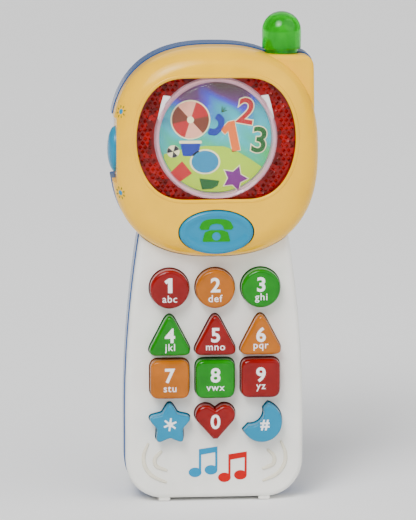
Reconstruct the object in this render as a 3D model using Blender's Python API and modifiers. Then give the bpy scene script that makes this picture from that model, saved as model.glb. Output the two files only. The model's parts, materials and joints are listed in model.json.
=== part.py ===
"""Toy cell phone: a lit picture screen in a domed head, twelve shaped keys and a call button.

Sizes are millimetres, and the helpers turn them into metres.  The phone stands upright on its feet
with +Z up.  Its front faces -Y, and y = 0 is the parting plane between front and rear shells.
Every part hangs under one empty, which puts the middle of the phone's footprint at the origin.
"""
import math

import bmesh
import bpy
from mathutils import Matrix, Vector

MM = 0.001
FRAME_SHIFT = (0.43, 1.25, 0.0)    # footprint centre to origin

# Driving dimensions
GAP = 0.3                          # clearance between touching pieces
WALL = 2.0                         # shell thickness
PROUD = 0.4                        # rear shell stands this far outside the front shells
HEAD_Z = 136.8
HEAD_A = 39.8                      # half width of the head
HEAD_B = 40.4                      # half height of the head
HEAD_POWER = 2.5                   # superellipse exponent
BODY_BASE = 0.8
BODY_TOP = 108.0
BODY_HALF = 34.7
CORNER_X = 20.0
CORNER_Z = 16.0
TAPER_Z = 34.0
NECK_HALF = 29.0
NECK_Z = 103.0
BLOCK_RIGHT = 38.6
BLOCK_TOP = 174.0
BACK_Y = 18.5
FACE_Y = -9.0                      # keypad face
HEAD_FRONT_Y = -18.3
KEY_FRONT_Y = -14.0
KEY_HALF = 7.5
KEY_COLUMNS = (-17.45, 0.0, 17.45)
KEY_ROWS = (84.6, 66.3, 49.4, 32.6)
SCREEN_Z = 142.9
SCREEN_HALF_X = 30.6
SCREEN_HALF_Z = 23.6
LENS_R = 23.0
LENS_FLAT = 22.5
CALL_Z = 107.4
CALL_A = 14.1
CALL_B = 8.4
SIDE_Z = 137.2
SIDE_Y = -1.0
SEAT_X = -37.3
ANTENNA_X = 26.1
ANTENNA_R = 7.5
FOOT_X = 19.4
DOOR_HALF = 17.2
DOOR_LOW = 28.0
DOOR_HIGH = 87.0
BATTERY_R = 7.1
BATTERY_LENGTH = 50.5
BATTERY_Y = 9.1
BATTERY_LOW = 33.0
NECK_POST = (24.0, 96.0)
BASE_POST = (24.5, 13.0)
HEAD_POST = (31.0, 155.0)
SPEAKER_Z = 137.0
SWITCH_Z = 104.0
MAT_Y = (-3.2, -2.2)
BOARD_Y = (-1.9, -0.3)

COLOURS = {
    "blue_plastic": (0.02, 0.20, 0.45, 1.0, 0.30, 0.0),
    "white_plastic": (0.80, 0.79, 0.75, 1.0, 0.30, 0.0),
    "yellow_plastic": (0.93, 0.62, 0.10, 1.0, 0.25, 0.0),
    "clear_green": (0.05, 0.60, 0.08, 0.55, 0.08, 0.0),
    "clear_lens": (0.90, 0.95, 0.98, 0.25, 0.04, 0.0),
    "clear_red": (0.70, 0.02, 0.03, 0.60, 0.08, 0.0),
    "clear_amber": (0.75, 0.38, 0.04, 0.60, 0.08, 0.0),
    "teal_plastic": (0.01, 0.45, 0.60, 1.0, 0.25, 0.0),
    "printed_film": (0.10, 0.65, 0.60, 1.0, 0.15, 0.3),
    "carrier_white": (0.85, 0.85, 0.85, 1.0, 0.40, 0.0),
    "silicone": (0.55, 0.57, 0.58, 1.0, 0.60, 0.0),
    "circuit_board": (0.03, 0.22, 0.08, 1.0, 0.45, 0.0),
    "black_epoxy": (0.02, 0.02, 0.02, 1.0, 0.35, 0.0),
    "steel": (0.60, 0.60, 0.60, 1.0, 0.30, 1.0),
    "paper_cone": (0.06, 0.06, 0.07, 1.0, 0.80, 0.0),
    "battery_wrap": (0.05, 0.12, 0.30, 1.0, 0.30, 0.3),
    "red_wire": (0.60, 0.03, 0.03, 1.0, 0.50, 0.0),
    "black_wire": (0.02, 0.02, 0.02, 1.0, 0.50, 0.0),
    "led_epoxy": (0.85, 0.88, 0.90, 0.50, 0.10, 0.0),
}


# ---------------------------------------------------------------- scene and materials

def clear_scene():
    for old in list(bpy.data.objects):
        bpy.data.objects.remove(old, do_unlink=True)


def new_collection(name):
    made = bpy.data.collections.new(name)
    bpy.context.scene.collection.children.link(made)
    return made


def material(name):
    found = bpy.data.materials.get(name)
    if found:
        return found
    made = bpy.data.materials.new(name)
    made.use_nodes = True
    red, green, blue, alpha, rough, metal = COLOURS[name]
    shader = made.node_tree.nodes["Principled BSDF"]
    shader.inputs["Base Color"].default_value = (red, green, blue, 1.0)
    shader.inputs["Alpha"].default_value = alpha
    shader.inputs["Roughness"].default_value = rough
    shader.inputs["Metallic"].default_value = metal
    return made


clear_scene()
PARTS = new_collection("toy_cell_phone")
CUTTERS = new_collection("cutters")
ROOT = bpy.data.objects.new("phone_frame", None)
ROOT.location = Vector(FRAME_SHIFT) * MM
PARTS.objects.link(ROOT)


def place(obj, slot):
    """Files an object as a part with its material, or as a cutter where slot is None."""
    (CUTTERS if slot is None else PARTS).objects.link(obj)
    obj.parent = ROOT
    if slot is None:
        obj.hide_render = True
        obj.display_type = "WIRE"
    else:
        obj.data.materials.append(material(slot))
    return obj


def from_bmesh(name, bm, slot, origin=(0, 0, 0), smooth=40):
    """Makes an object from a bmesh drawn in millimetres about origin, which becomes its location."""
    bmesh.ops.recalc_face_normals(bm, faces=bm.faces)
    bm.transform(Matrix.Scale(MM, 4))
    mesh = bpy.data.meshes.new(name)
    bm.to_mesh(mesh)
    bm.free()
    mesh.shade_smooth()
    mesh.set_sharp_from_angle(angle=math.radians(smooth))
    obj = bpy.data.objects.new(name, mesh)
    obj.location = Vector(origin) * MM
    return place(obj, slot)


def boolean(obj, other, operation):
    mod = obj.modifiers.new(f"{operation.lower()}_{other.name}", "BOOLEAN")
    mod.operation = operation
    mod.solver = "EXACT"
    mod.object = other


def cut(obj, *others):
    for other in others:
        boolean(obj, other, "DIFFERENCE")


def join(obj, *others):
    for other in others:
        boolean(obj, other, "UNION")


# ---------------------------------------------------------------- shapes

def loft(bm, sections):
    """Skins closed outlines of equal count, each [(x, z), ...] at its own y, and caps both ends."""
    rings = [[bm.verts.new((x, y, z)) for x, z in outline] for outline, y in sections]
    count = len(rings[0])
    for near, far in zip(rings, rings[1:]):
        for i in range(count):
            k = (i + 1) % count
            bm.faces.new((near[i], near[k], far[k], far[i]))
    bm.faces.new(rings[0])
    bm.faces.new(rings[-1][::-1])


def lofted(name, sections, slot, origin=(0, 0, 0)):
    bm = bmesh.new()
    loft(bm, sections)
    return from_bmesh(name, bm, slot, origin)


def add_box(bm, low, high):
    size = Vector(high) - Vector(low)
    middle = (Vector(high) + Vector(low)) / 2
    bmesh.ops.create_cube(bm, size=1.0, matrix=Matrix.Translation(middle) @ Matrix.Diagonal(size.to_4d()))


def boxes(name, corners, slot, origin=(0, 0, 0), bevel=0.0):
    """One box for each (low, high) pair, all in one object."""
    bm = bmesh.new()
    for low, high in corners:
        add_box(bm, low, high)
    if bevel:
        bmesh.ops.bevel(bm, geom=bm.edges[:], offset=bevel, segments=1, affect="EDGES")
    return from_bmesh(name, bm, slot, origin)


def add_rod(bm, x, z, radius, y_front, y_back, sides=16, tip=None):
    """A cylinder along Y, or a cone where tip is the radius at its front."""
    turn = Matrix.Rotation(math.radians(90), 4, "X")
    centre = Matrix.Translation((x, (y_front + y_back) / 2, z))
    bmesh.ops.create_cone(bm, cap_ends=True, segments=sides, radius1=radius,
                          radius2=radius if tip is None else tip,
                          depth=y_back - y_front, matrix=centre @ turn)


def rods(name, items, slot, sides=16):
    """One cylinder along Y for each (x, z, radius, y_front, y_back), all in one object."""
    bm = bmesh.new()
    for x, z, radius, y_front, y_back in items:
        add_rod(bm, x, z, radius, y_front, y_back, sides)
    return from_bmesh(name, bm, slot)


def turned(name, profile, slot, origin, steps=24, axis="Z", ring=False):
    """A solid of revolution: profile is [(radius, height), ...] down the outer side, top to bottom.

    A ring's profile closes on itself.  On axis Y the profile's top faces -Y.
    """
    mesh = bpy.data.meshes.new(name)
    points = [(radius * MM, 0, height * MM) for radius, height in profile]
    edges = [(i, i + 1) for i in range(len(points) - 1)]
    if ring:
        edges.append((len(points) - 1, 0))
    mesh.from_pydata(points, edges, [])
    obj = bpy.data.objects.new(name, mesh)
    screw = obj.modifiers.new("turn", "SCREW")
    screw.steps = steps
    screw.render_steps = steps
    screw.use_merge_vertices = True
    screw.merge_threshold = 0.00001
    obj.location = Vector(origin) * MM
    if axis == "Y":
        obj.rotation_euler = (math.radians(90), 0, 0)
    return place(obj, slot)


def plate(name, outlines, y_front, y_back, slot):
    """A flat plate facing -Y: the first outline is its edge, and the others are holes in it."""
    curve = bpy.data.curves.new(name, "CURVE")
    curve.dimensions = "2D"
    curve.fill_mode = "BOTH"
    curve.extrude = (y_back - y_front) / 2 * MM
    for outline in outlines:
        spline = curve.splines.new("POLY")
        spline.points.add(len(outline) - 1)
        for point, (x, z) in zip(spline.points, outline):
            point.co = (x * MM, z * MM, 0, 1)
        spline.use_cyclic_u = True
    obj = bpy.data.objects.new(name, curve)
    obj.rotation_euler = (math.radians(90), 0, 0)
    obj.location = (0, (y_front + y_back) / 2 * MM, 0)
    return place(obj, slot)


def tube(name, route, radius, slot, origin=(0, 0, 0)):
    """A round wire along the points of route."""
    curve = bpy.data.curves.new(name, "CURVE")
    curve.dimensions = "3D"
    curve.bevel_depth = radius * MM
    curve.bevel_resolution = 2
    curve.use_fill_caps = True
    spline = curve.splines.new("POLY")
    spline.points.add(len(route) - 1)
    for point, place_mm in zip(spline.points, route):
        point.co = (*(Vector(place_mm) * MM), 1)
    obj = bpy.data.objects.new(name, curve)
    obj.location = Vector(origin) * MM
    return place(obj, slot)


def smooth_route(points, per_span=4):
    """A Catmull-Rom curve through the route's own points."""
    ends = [Vector(points[0])] + [Vector(p) for p in points] + [Vector(points[-1])]
    route = []
    for a, b, c, d in zip(ends, ends[1:], ends[2:], ends[3:]):
        for i in range(per_span):
            t = i / per_span
            route.append(0.5 * (2 * b + (c - a) * t + (2 * a - 5 * b + 4 * c - d) * t ** 2
                                + (3 * b - a - 3 * c + d) * t ** 3))
    return route + [ends[-1]]


# ---------------------------------------------------------------- outlines, as (x, z) points

def ellipse(half_x, half_z, count=24, x=0.0, z=0.0, power=2.0):
    points = []
    for i in range(count):
        angle = 2 * math.pi * (i + 0.5) / count
        c, s = math.cos(angle), math.sin(angle)
        points.append((x + half_x * math.copysign(abs(c) ** (2 / power), c),
                       z + half_z * math.copysign(abs(s) ** (2 / power), s)))
    return points


def rectangle(x0, z0, x1, z1):
    return [(x0, z0), (x1, z0), (x1, z1), (x0, z1)]


def rounded(corners, radius, steps=3):
    """Replaces each corner of a polygon, given anticlockwise, by an arc-like run of points."""
    points = []
    count = len(corners)
    for i, corner in enumerate(corners):
        here = Vector(corner)
        before = (Vector(corners[i - 1]) - here).normalized()
        after = (Vector(corners[(i + 1) % count]) - here).normalized()
        half = before.angle(after) / 2
        reach = radius / math.tan(half)
        start, end = here + before * reach, here + after * reach
        for k in range(steps + 1):
            t = k / steps
            point = start * (1 - t) ** 2 + here * 2 * t * (1 - t) + end * t ** 2
            points.append((point.x, point.y))
    return points


def grown(outline, distance):
    """The anticlockwise outline moved outwards by distance, with mitred corners."""
    points = []
    count = len(outline)
    for i, point in enumerate(outline):
        here = Vector(point)
        into = (here - Vector(outline[i - 1])).normalized()
        away = (Vector(outline[(i + 1) % count]) - here).normalized()
        first = Vector((into.y, -into.x))
        second = Vector((away.y, -away.x))
        mitre = (first + second).normalized()
        moved = here + mitre * distance / max(mitre.dot(first), 0.5)
        points.append((moved.x, moved.y))
    return points


def head_outline(inset=0.0, count=32):
    return ellipse(HEAD_A - inset, HEAD_B - inset, count, 0.0, HEAD_Z, HEAD_POWER)


def body_half(z):
    """Half width of the handle at height z: widest near the base, narrower at the neck."""
    if z <= TAPER_Z:
        return BODY_HALF
    rise = (z - TAPER_Z) / (NECK_Z - TAPER_Z)
    return BODY_HALF - (BODY_HALF - NECK_HALF) * rise ** 1.9


def body_outline(inset=0.0, top=BODY_TOP):
    right = []
    for i in range(7):
        angle = math.radians(-90 + 15 * i)
        right.append((CORNER_X + (BODY_HALF - CORNER_X - inset) * math.cos(angle),
                      CORNER_Z + (CORNER_Z - BODY_BASE - inset) * math.sin(angle)))
    for i in range(1, 7):
        z = CORNER_Z + (top - CORNER_Z) * i / 6
        right.append((body_half(z) - inset, z))
    return right + [(-x, z) for x, z in reversed(right)]


def block_outline(inset=0.0):
    """The shoulder that carries the antenna, at the top right of the head."""
    right, top = BLOCK_RIGHT - inset, BLOCK_TOP - inset
    corners = [(12, 138), (right, 138), (right - 0.6, top - 0.3), (12, top)]
    arc = rounded(corners[1:], 5.5 - min(inset, 2.5), 4)[5:10]
    return [corners[0], corners[1], *arc, (18.0, top), corners[3]]


def screen_outline(margin=0.0, steps=7):
    """The screen opening: flat above and below, with a long arc at each side."""
    flat = 10.5
    half_x, half_z = SCREEN_HALF_X + margin, SCREEN_HALF_Z + margin
    right = []
    for i in range(steps + 1):
        angle = math.radians(-90 + 180 * i / steps)
        bow = math.copysign(abs(math.cos(angle)) ** 0.8, 1)
        right.append((flat + (half_x - flat) * bow, SCREEN_Z + half_z * math.sin(angle)))
    return right + [(-x, z) for x, z in reversed(right)]


def lens_outline(radius, flat, count=28):
    return [(x, SCREEN_Z + max(-flat, min(flat, z))) for x, z in ellipse(radius, radius, count)]


def triangle_key():
    h = KEY_HALF
    return rounded([(-h - 1.6, -h), (h + 1.6, -h), (0, h + 2.6)], 2.6)


def square_key():
    h = KEY_HALF
    return rounded([(-h, -h), (h, -h), (h, h), (-h, h)], 3.4, 4)


def star_key():
    corners = []
    for i in range(10):
        angle = math.radians(-126 + 36 * i)
        radius = 9.3 if i % 2 == 0 else 5.2
        corners.append((radius * math.cos(angle), radius * math.sin(angle) - 1.0))
    return rounded(corners, 1.7, 2)


def heart_key(steps=8):
    """Two round lobes over a blunt point."""
    lobe_x, lobe_z, lobe_r = 3.7, 2.5, 4.0
    right = [(0.9, -6.8)]
    for i in range(steps + 1):
        angle = math.radians(-40 + 170 * i / steps)
        right.append((lobe_x + lobe_r * math.cos(angle), lobe_z + lobe_r * math.sin(angle)))
    return right + [(0.0, 4.7)] + [(-x, z) for x, z in reversed(right)]


def moon_key():
    """A crescent with round tips, open towards the upper left."""
    turn = math.radians(-42)
    outer = [(7.8 * math.cos(a), 7.8 * math.sin(a))
             for a in (math.radians(-114 + 228 * i / 14) for i in range(15))]
    inner = [(-6.0 + 5.2 * math.cos(a), 5.2 * math.sin(a))
             for a in (math.radians(56 - 112 * i / 6) for i in range(7))]
    c, s = math.cos(turn), math.sin(turn)
    return [(x * c - z * s + 0.6, x * s + z * c - 0.6) for x, z in outer + inner]


def circle_key():
    return ellipse(KEY_HALF, KEY_HALF, 20)


# ---------------------------------------------------------------- housing

ALL_POSTS = (NECK_POST, BASE_POST, HEAD_POST)
KEYS = {
    "key_1": (circle_key, 0, 0, "clear_red"),
    "key_2": (circle_key, 1, 0, "clear_amber"),
    "key_3": (circle_key, 2, 0, "clear_green"),
    "key_4": (triangle_key, 0, 1, "clear_green"),
    "key_5": (triangle_key, 1, 1, "clear_red"),
    "key_6": (triangle_key, 2, 1, "clear_amber"),
    "key_7": (square_key, 0, 2, "clear_amber"),
    "key_8": (square_key, 1, 2, "clear_green"),
    "key_9": (square_key, 2, 2, "clear_red"),
    "key_star": (star_key, 0, 3, "teal_plastic"),
    "key_0": (heart_key, 1, 3, "clear_red"),
    "key_hash": (moon_key, 2, 3, "teal_plastic"),
}
DOOR_EAR_Z = DOOR_HIGH + 2.2
DOOR_EAR_R = 4.6
DOOR_INNER_Y = 16.6
DOOR_OUTER_Y = 18.2


def key_place(name):
    return KEY_COLUMNS[KEYS[name][1]], KEY_ROWS[KEYS[name][2]]


def moved(outline, x, z):
    return [(x + dx, z + dz) for dx, dz in outline]


def skinned(name, outline_at, steps, slot=None):
    """A solid whose outline is outline_at(inset) at each (inset, y) step."""
    return lofted(name, [(outline_at(inset), y) for inset, y in steps], slot)


def union_of(name, outlines, steps, slot=None):
    """One solid joined from the body, head or shoulder outlines, all with the same edge."""
    first = skinned(name, outlines[0], steps, slot)
    for outline_at in outlines[1:]:
        join(first, skinned(f"{name}_{outline_at.__name__}", outline_at, steps))
    return first


def mirrored(spots):
    return [(side * x, z) for x, z in spots for side in (-1, 1)]


def posts(name, spots, radius, y_front, y_back, sides=16):
    return rods(name, [(x, z, radius, y_front, y_back) for x, z in mirrored(spots)], None, sides)


def feet(name, y_front, y_back):
    return boxes(name, [((side * FOOT_X - 2.2, y_front, 0), (side * FOOT_X + 2.2, y_back, 2.4))
                        for side in (-1, 1)], None)


def antenna_bore(name):
    bore = ANTENNA_R - 1.0
    return turned(name, [(0, 10), (bore, 10), (bore, -6), (0, -6)], None, (ANTENNA_X, 0, 171), 20)


def side_bore(name):
    """The oval hole in the left wall that the side button slides in."""
    hole = ellipse(6.9, 9.1, 24)
    bore = lofted(name, [(hole, -12), (hole, 12)], None, (SEAT_X, SIDE_Y, SIDE_Z))
    bore.rotation_euler = (0, 0, math.radians(90))
    return bore


def make_rear_shell():
    outlines = (body_outline, head_outline, block_outline)
    shell = union_of("rear_shell", outlines,
                     [(0, 0), (0, 12.8), (1.0, 15.8), (2.8, 17.8), (5.4, BACK_Y)], "blue_plastic")
    hollow = union_of("rear_hollow", outlines,
                      [(WALL, -1), (WALL, 12.4), (3.6, 15.2), (6.0, BACK_Y - WALL)])
    bay = boxes("bay_walls", [((-18.4, 0.9, DOOR_LOW - 2), (18.4, 30, DOOR_HIGH + 1.2))], None)
    boss = rods("door_boss", [(0, DOOR_EAR_Z, 5.6, 0.9, 30)], None)
    pad = boxes("rear_seat_pad", [((-45, -5, 123), (-33.2, 30, 151.9))], None)
    cut(hollow, bay, boss, posts("rear_posts", ALL_POSTS, 4.0, 3.0, 30.0), pad)
    cut(shell, hollow)

    openings = boxes("battery_bay", [((-15.6, 1.7, DOOR_LOW + 1.2), (15.6, 30, DOOR_HIGH - 0.6))], None)
    recess = boxes("door_recess", [((-DOOR_HALF - GAP, DOOR_INNER_Y - GAP, DOOR_LOW - GAP),
                                    (DOOR_HALF + GAP, 30, DOOR_HIGH + GAP))], None)
    pockets = boxes("tongue_pockets", [((x - 3, 12.2, DOOR_LOW - 1.6), (x + 3, 16.5, DOOR_LOW + 3))
                                       for x in (-10, 10)], None)
    tails = boxes("tail_slots", [((x - 1.4, 3.4, 80), (x + 1.4, 5.2, 92)) for x in (-11, 11)], None)
    bores = posts("rear_screw_bores", ALL_POSTS, 1.6, -5.0, 30.0, 12)
    sinks = posts("rear_screw_sinks", ALL_POSTS, 2.8, 9.0, 30.0)
    ear = rods("door_ear_recess", [(0, DOOR_EAR_Z, DOOR_EAR_R + GAP, DOOR_INNER_Y - GAP, 30)], None, 20)
    ear_bore = rods("door_screw_bore", [(0, DOOR_EAR_Z, 1.75, 5.5, 30)], None, 12)
    cut(shell, openings, recess, pockets, tails, bores, sinks, ear, ear_bore)

    holes = [(0, SPEAKER_Z, 1.2, 10, 30)]
    for count, ring in ((6, 4.6), (12, 9.2)):
        for i in range(count):
            angle = 2 * math.pi * i / count
            holes.append((ring * math.cos(angle), SPEAKER_Z + ring * math.sin(angle), 1.2, 10, 30))
    slot = boxes("switch_slot", [((-5.4, 14, SWITCH_Z - 2.3), (5.4, 30, SWITCH_Z + 2.3))], None)
    seat = boxes("rear_seat_cut", [((-60, -5, 126), (SEAT_X, 30, 150.5))], None)
    notch = boxes("rear_seat_notch", [((-61, -6, 125.9), (-35.0, 12.3, 150.6))], None)
    cut(shell, rods("speaker_grille", holes, None, 8), slot, seat, notch)
    cut(shell, antenna_bore("rear_antenna_bore"), side_bore("rear_side_bore"))
    join(shell, feet("rear_feet", 8.0, 13.6))


def make_keypad_shell():
    shell = skinned("keypad_shell", body_outline,
                    [(PROUD, -GAP), (PROUD, -6.6), (1.1, -8.1), (2.4, FACE_Y)], "white_plastic")
    hollow = skinned("keypad_hollow", body_outline,
                     [(WALL + PROUD, 1), (WALL + PROUD, -6.0), (3.0, FACE_Y + WALL)])
    head = skinned("keypad_head_cut", head_outline, [(PROUD - GAP, 2), (PROUD - GAP, -30)])
    cut(shell, hollow)
    join(shell, posts("keypad_bosses", (NECK_POST, BASE_POST), 3.2, -7.5, 2.7))
    cut(shell, head, posts("keypad_boss_bores", (NECK_POST, BASE_POST), 1.6, -5.5, 5.0, 12))
    for name, (shape, _, _, _) in KEYS.items():
        hole = moved(grown(shape(), 0.4), *key_place(name))
        cut(shell, lofted(f"{name}_hole", [(hole, -2), (hole, -30)], None))
    join(shell, feet("front_feet", -7.8, -2.4))


def make_head_cover():
    cover = skinned("head_cover", head_outline,
                    [(PROUD, -GAP), (PROUD, -8.5), (1.3, -12.5), (3.2, -15.6), (6.0, -17.4),
                     (9.5, HEAD_FRONT_Y)], "yellow_plastic")
    join(cover, skinned("cover_shoulder", block_outline,
                        [(PROUD, -GAP), (PROUD, -8.4), (1.4, -9.6), (2.6, -10.0)]))
    hollow = skinned("cover_hollow", head_outline,
                     [(WALL + PROUD, 1), (WALL + PROUD, -8.5), (3.4, -12.0), (5.4, -14.6),
                      (8.0, -15.9), (11.0, HEAD_FRONT_Y + WALL)])
    join(hollow, skinned("shoulder_hollow", block_outline, [(WALL + PROUD, 1.5), (WALL + PROUD, -8.0)]))
    cut(hollow, boxes("cover_seat_pad", [((-45, -12.5, 123), (-34.6, 5, 153))], None))
    cut(cover, hollow)
    seat = boxes("cover_seat_cut", [((-60, -30, 126), (SEAT_X, 5, 150.5))], None)
    chin = boxes("chin_passage", [((-20, -6.7, 90), (20, 3, 106))], None)
    window = lofted("screen_window", [(screen_outline(), -10), (screen_outline(), -30)], None)
    oval = ellipse(CALL_A + 0.35, CALL_B + 0.35, 28, 0, CALL_Z)
    cut(cover, seat, chin, window, lofted("call_hole", [(oval, -5), (oval, -30)], None))
    join(cover, boxes("seat_tab", [((SEAT_X, -0.9, 126.3), (-35.3, 12.0, 150.2))], None))
    join(cover, posts("cover_bosses", (HEAD_POST,), 3.6, -13.5, 2.7))
    cut(cover, posts("cover_boss_bores", (HEAD_POST,), 1.6, -5.5, 5.0, 12))
    cut(cover, antenna_bore("cover_antenna_bore"), side_bore("cover_side_bore"))


def make_antenna():
    turned("antenna_cap", [(0, 15.2), (3.2, 14.5), (5.6, 12.7), (7.0, 10.2), (ANTENNA_R, 7.6), (7.4, 1.0),
                           (6.2, 1.0), (6.2, -2.8), (7.2, -2.8), (7.2, -4.4), (5.2, -4.4), (5.2, 7.4),
                           (4.6, 10.0), (2.6, 12.2), (0, 12.9)], "clear_green", (ANTENNA_X, 0, BLOCK_TOP))
    turned("antenna_led", [(0, 7.5), (1.7, 6.9), (2.5, 5.2), (2.5, -1.0), (0.8, -1.0), (0.8, -9.0), (0, -9.0)],
           "led_epoxy", (ANTENNA_X, 0, BLOCK_TOP), 12)


def make_screen():
    plate("screen_bezel", [screen_outline(0.9), lens_outline(LENS_R + GAP, LENS_FLAT + GAP)],
          -15.3, -14.2, "clear_red")
    lens = turned("screen_lens", [(0, 21.0), (8.0, 20.8), (15.0, 20.2), (20.0, 19.4), (22.4, 18.6), (23.0, 17.6),
                                  (LENS_R, 13.9), (24.6, 13.9), (24.6, 12.9), (21.4, 12.9), (21.4, 17.2),
                                  (20.6, 18.0), (14.5, 19.0), (8.0, 19.5), (0, 19.7)],
                  "clear_lens", (0, 0, SCREEN_Z), 26, "Y")
    flats = [((-30, -25, SCREEN_Z + LENS_FLAT), (30, -10, SCREEN_Z + 30)),
             ((-30, -25, SCREEN_Z - 30), (30, -10, SCREEN_Z - LENS_FLAT))]
    cut(lens, boxes("lens_flats", flats, None))
    plate("screen_picture", [lens_outline(22.6, LENS_FLAT)], -12.6, -12.2, "printed_film")
    plate("picture_carrier", [lens_outline(24.4, 24.0)], -11.9, -10.7, "carrier_white")
    plate("light_board", [rectangle(-14, 128, 14, 158)], -6.0, -4.8, "circuit_board")
    for side, name in ((-1, "screen_led_left"), (1, "screen_led_right")):
        turned(name, [(0, 4.0), (1.6, 3.6), (2.5, 2.2), (2.5, 0.0), (0, 0.0)], "led_epoxy",
               (side * 9.0, -6.3, SCREEN_Z), 12, "Y")


def make_buttons():
    for name, (shape, _, _, slot) in KEYS.items():
        x, z = key_place(name)
        body = shape()
        flange = grown(body, 0.8)
        face = KEY_FRONT_Y - FACE_Y
        lofted(name, [(flange, 3.1), (flange, 2.3), (body, 2.3), (body, face + 1.3),
                      (grown(body, -0.4), face + 0.5), (grown(body, -1.3), face)], slot, (x, FACE_Y, z))

    call = lofted("call_button", [(ellipse(CALL_A - inset, CALL_B - inset, 28), y) for inset, y in
                                  ((0, 4.5), (0, -1.0), (0.6, -1.8), (1.8, -2.0))],
                  "teal_plastic", (0, -17.0, CALL_Z))
    join(call, boxes("call_button_back", [((-2, -13.5, CALL_Z - 2), (2, -7.0, CALL_Z + 2)),
                                          ((-16.6, -14.6, CALL_Z - 1.8), (16.6, -13.0, CALL_Z + 1.8))], None))

    steps = ((7.8, 10.0, -5.4), (7.8, 10.0, -4.4), (6.5, 8.7, -4.4), (6.5, 8.7, 0.6), (5.9, 7.9, 1.9),
             (4.2, 5.6, 2.8), (1.8, 2.4, 3.2))
    side = lofted("side_button", [(ellipse(half_y, half_z, 24), depth) for half_y, half_z, depth in steps],
                  "teal_plastic", (SEAT_X, SIDE_Y, SIDE_Z))
    side.rotation_euler = (0, 0, math.radians(90))

    knob_x = -2.0
    knob = boxes("power_switch_knob", [((-3.2, -3.3, -3.0), (3.2, -2.1, 3.0))], "black_epoxy",
                 (knob_x, DOOR_OUTER_Y, SWITCH_Z))
    join(knob, boxes("knob_stem", [((knob_x - 1.6, 15.6, SWITCH_Z - 1.9),
                                    (knob_x + 1.6, DOOR_OUTER_Y, SWITCH_Z + 1.9))], None))


def make_electronics():
    bm = bmesh.new()
    add_box(bm, (-25.2, MAT_Y[0], 24.0), (25.2, MAT_Y[1], 92.3))
    mat = from_bmesh("keypad_mat", bm, "silicone")
    bm = bmesh.new()
    for name in KEYS:
        x, z = key_place(name)
        add_rod(bm, x, z, 4.4, -5.6, -2.7, 10, 3.2)
    join(mat, from_bmesh("mat_domes", bm, None))

    edge = [(-25.2, 23.0), (25.2, 23.0), (25.2, 92.3), (14.0, 92.3), (14.0, 116.0), (-14.0, 116.0),
            (-14.0, 92.3), (-25.2, 92.3)]
    plate("main_board", [edge], *BOARD_Y, "circuit_board")
    turned("sound_chip", [(0, 0.0), (5.0, 0.0), (4.2, -1.1), (2.2, -1.7), (0, -1.9)], "black_epoxy",
           (0, 0, 103.0), 12, "Y")
    boxes("call_switch", [((-3, -5.1, CALL_Z - 3), (3, -2.2, CALL_Z + 3))], "black_epoxy")
    boxes("side_switch", [((-30.3, -4.0, SIDE_Z - 3), (-27.0, 2.0, SIDE_Z + 3))], "black_epoxy")
    boxes("power_switch_body", [((-5.5, 9.4, SWITCH_Z - 3), (5.5, 14.6, SWITCH_Z + 3))], "steel")

    turned("speaker_frame", [(9.6, -9.6), (17.0, -13.4), (18.0, -13.4), (18.0, -16.1), (16.6, -16.1),
                             (16.6, -14.2), (9.6, -11.0)], "steel", (0, 0, SPEAKER_Z), 24, "Y", True)
    turned("speaker_magnet", [(0, -5.0), (9.0, -5.0), (9.0, -9.3), (0, -9.3)], "steel",
           (0, 0, SPEAKER_Z), 20, "Y")
    turned("speaker_cone", [(0, -12.6), (7.5, -12.8), (15.8, -15.0), (15.8, -15.6), (7.5, -13.6), (0, -13.4)],
           "paper_cone", (0, 0, SPEAKER_Z), 20, "Y")
    for side, name in ((-1, "speaker_lead_left"), (1, "speaker_lead_right")):
        tube(name, smooth_route([(side * 10.5, 8.6, 132), (side * 12, 6, 124), (side * 8, 2.5, 118),
                                 (side * 6, 0.9, 112)]), 0.45,
             "red_wire" if side < 0 else "black_wire")


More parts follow.
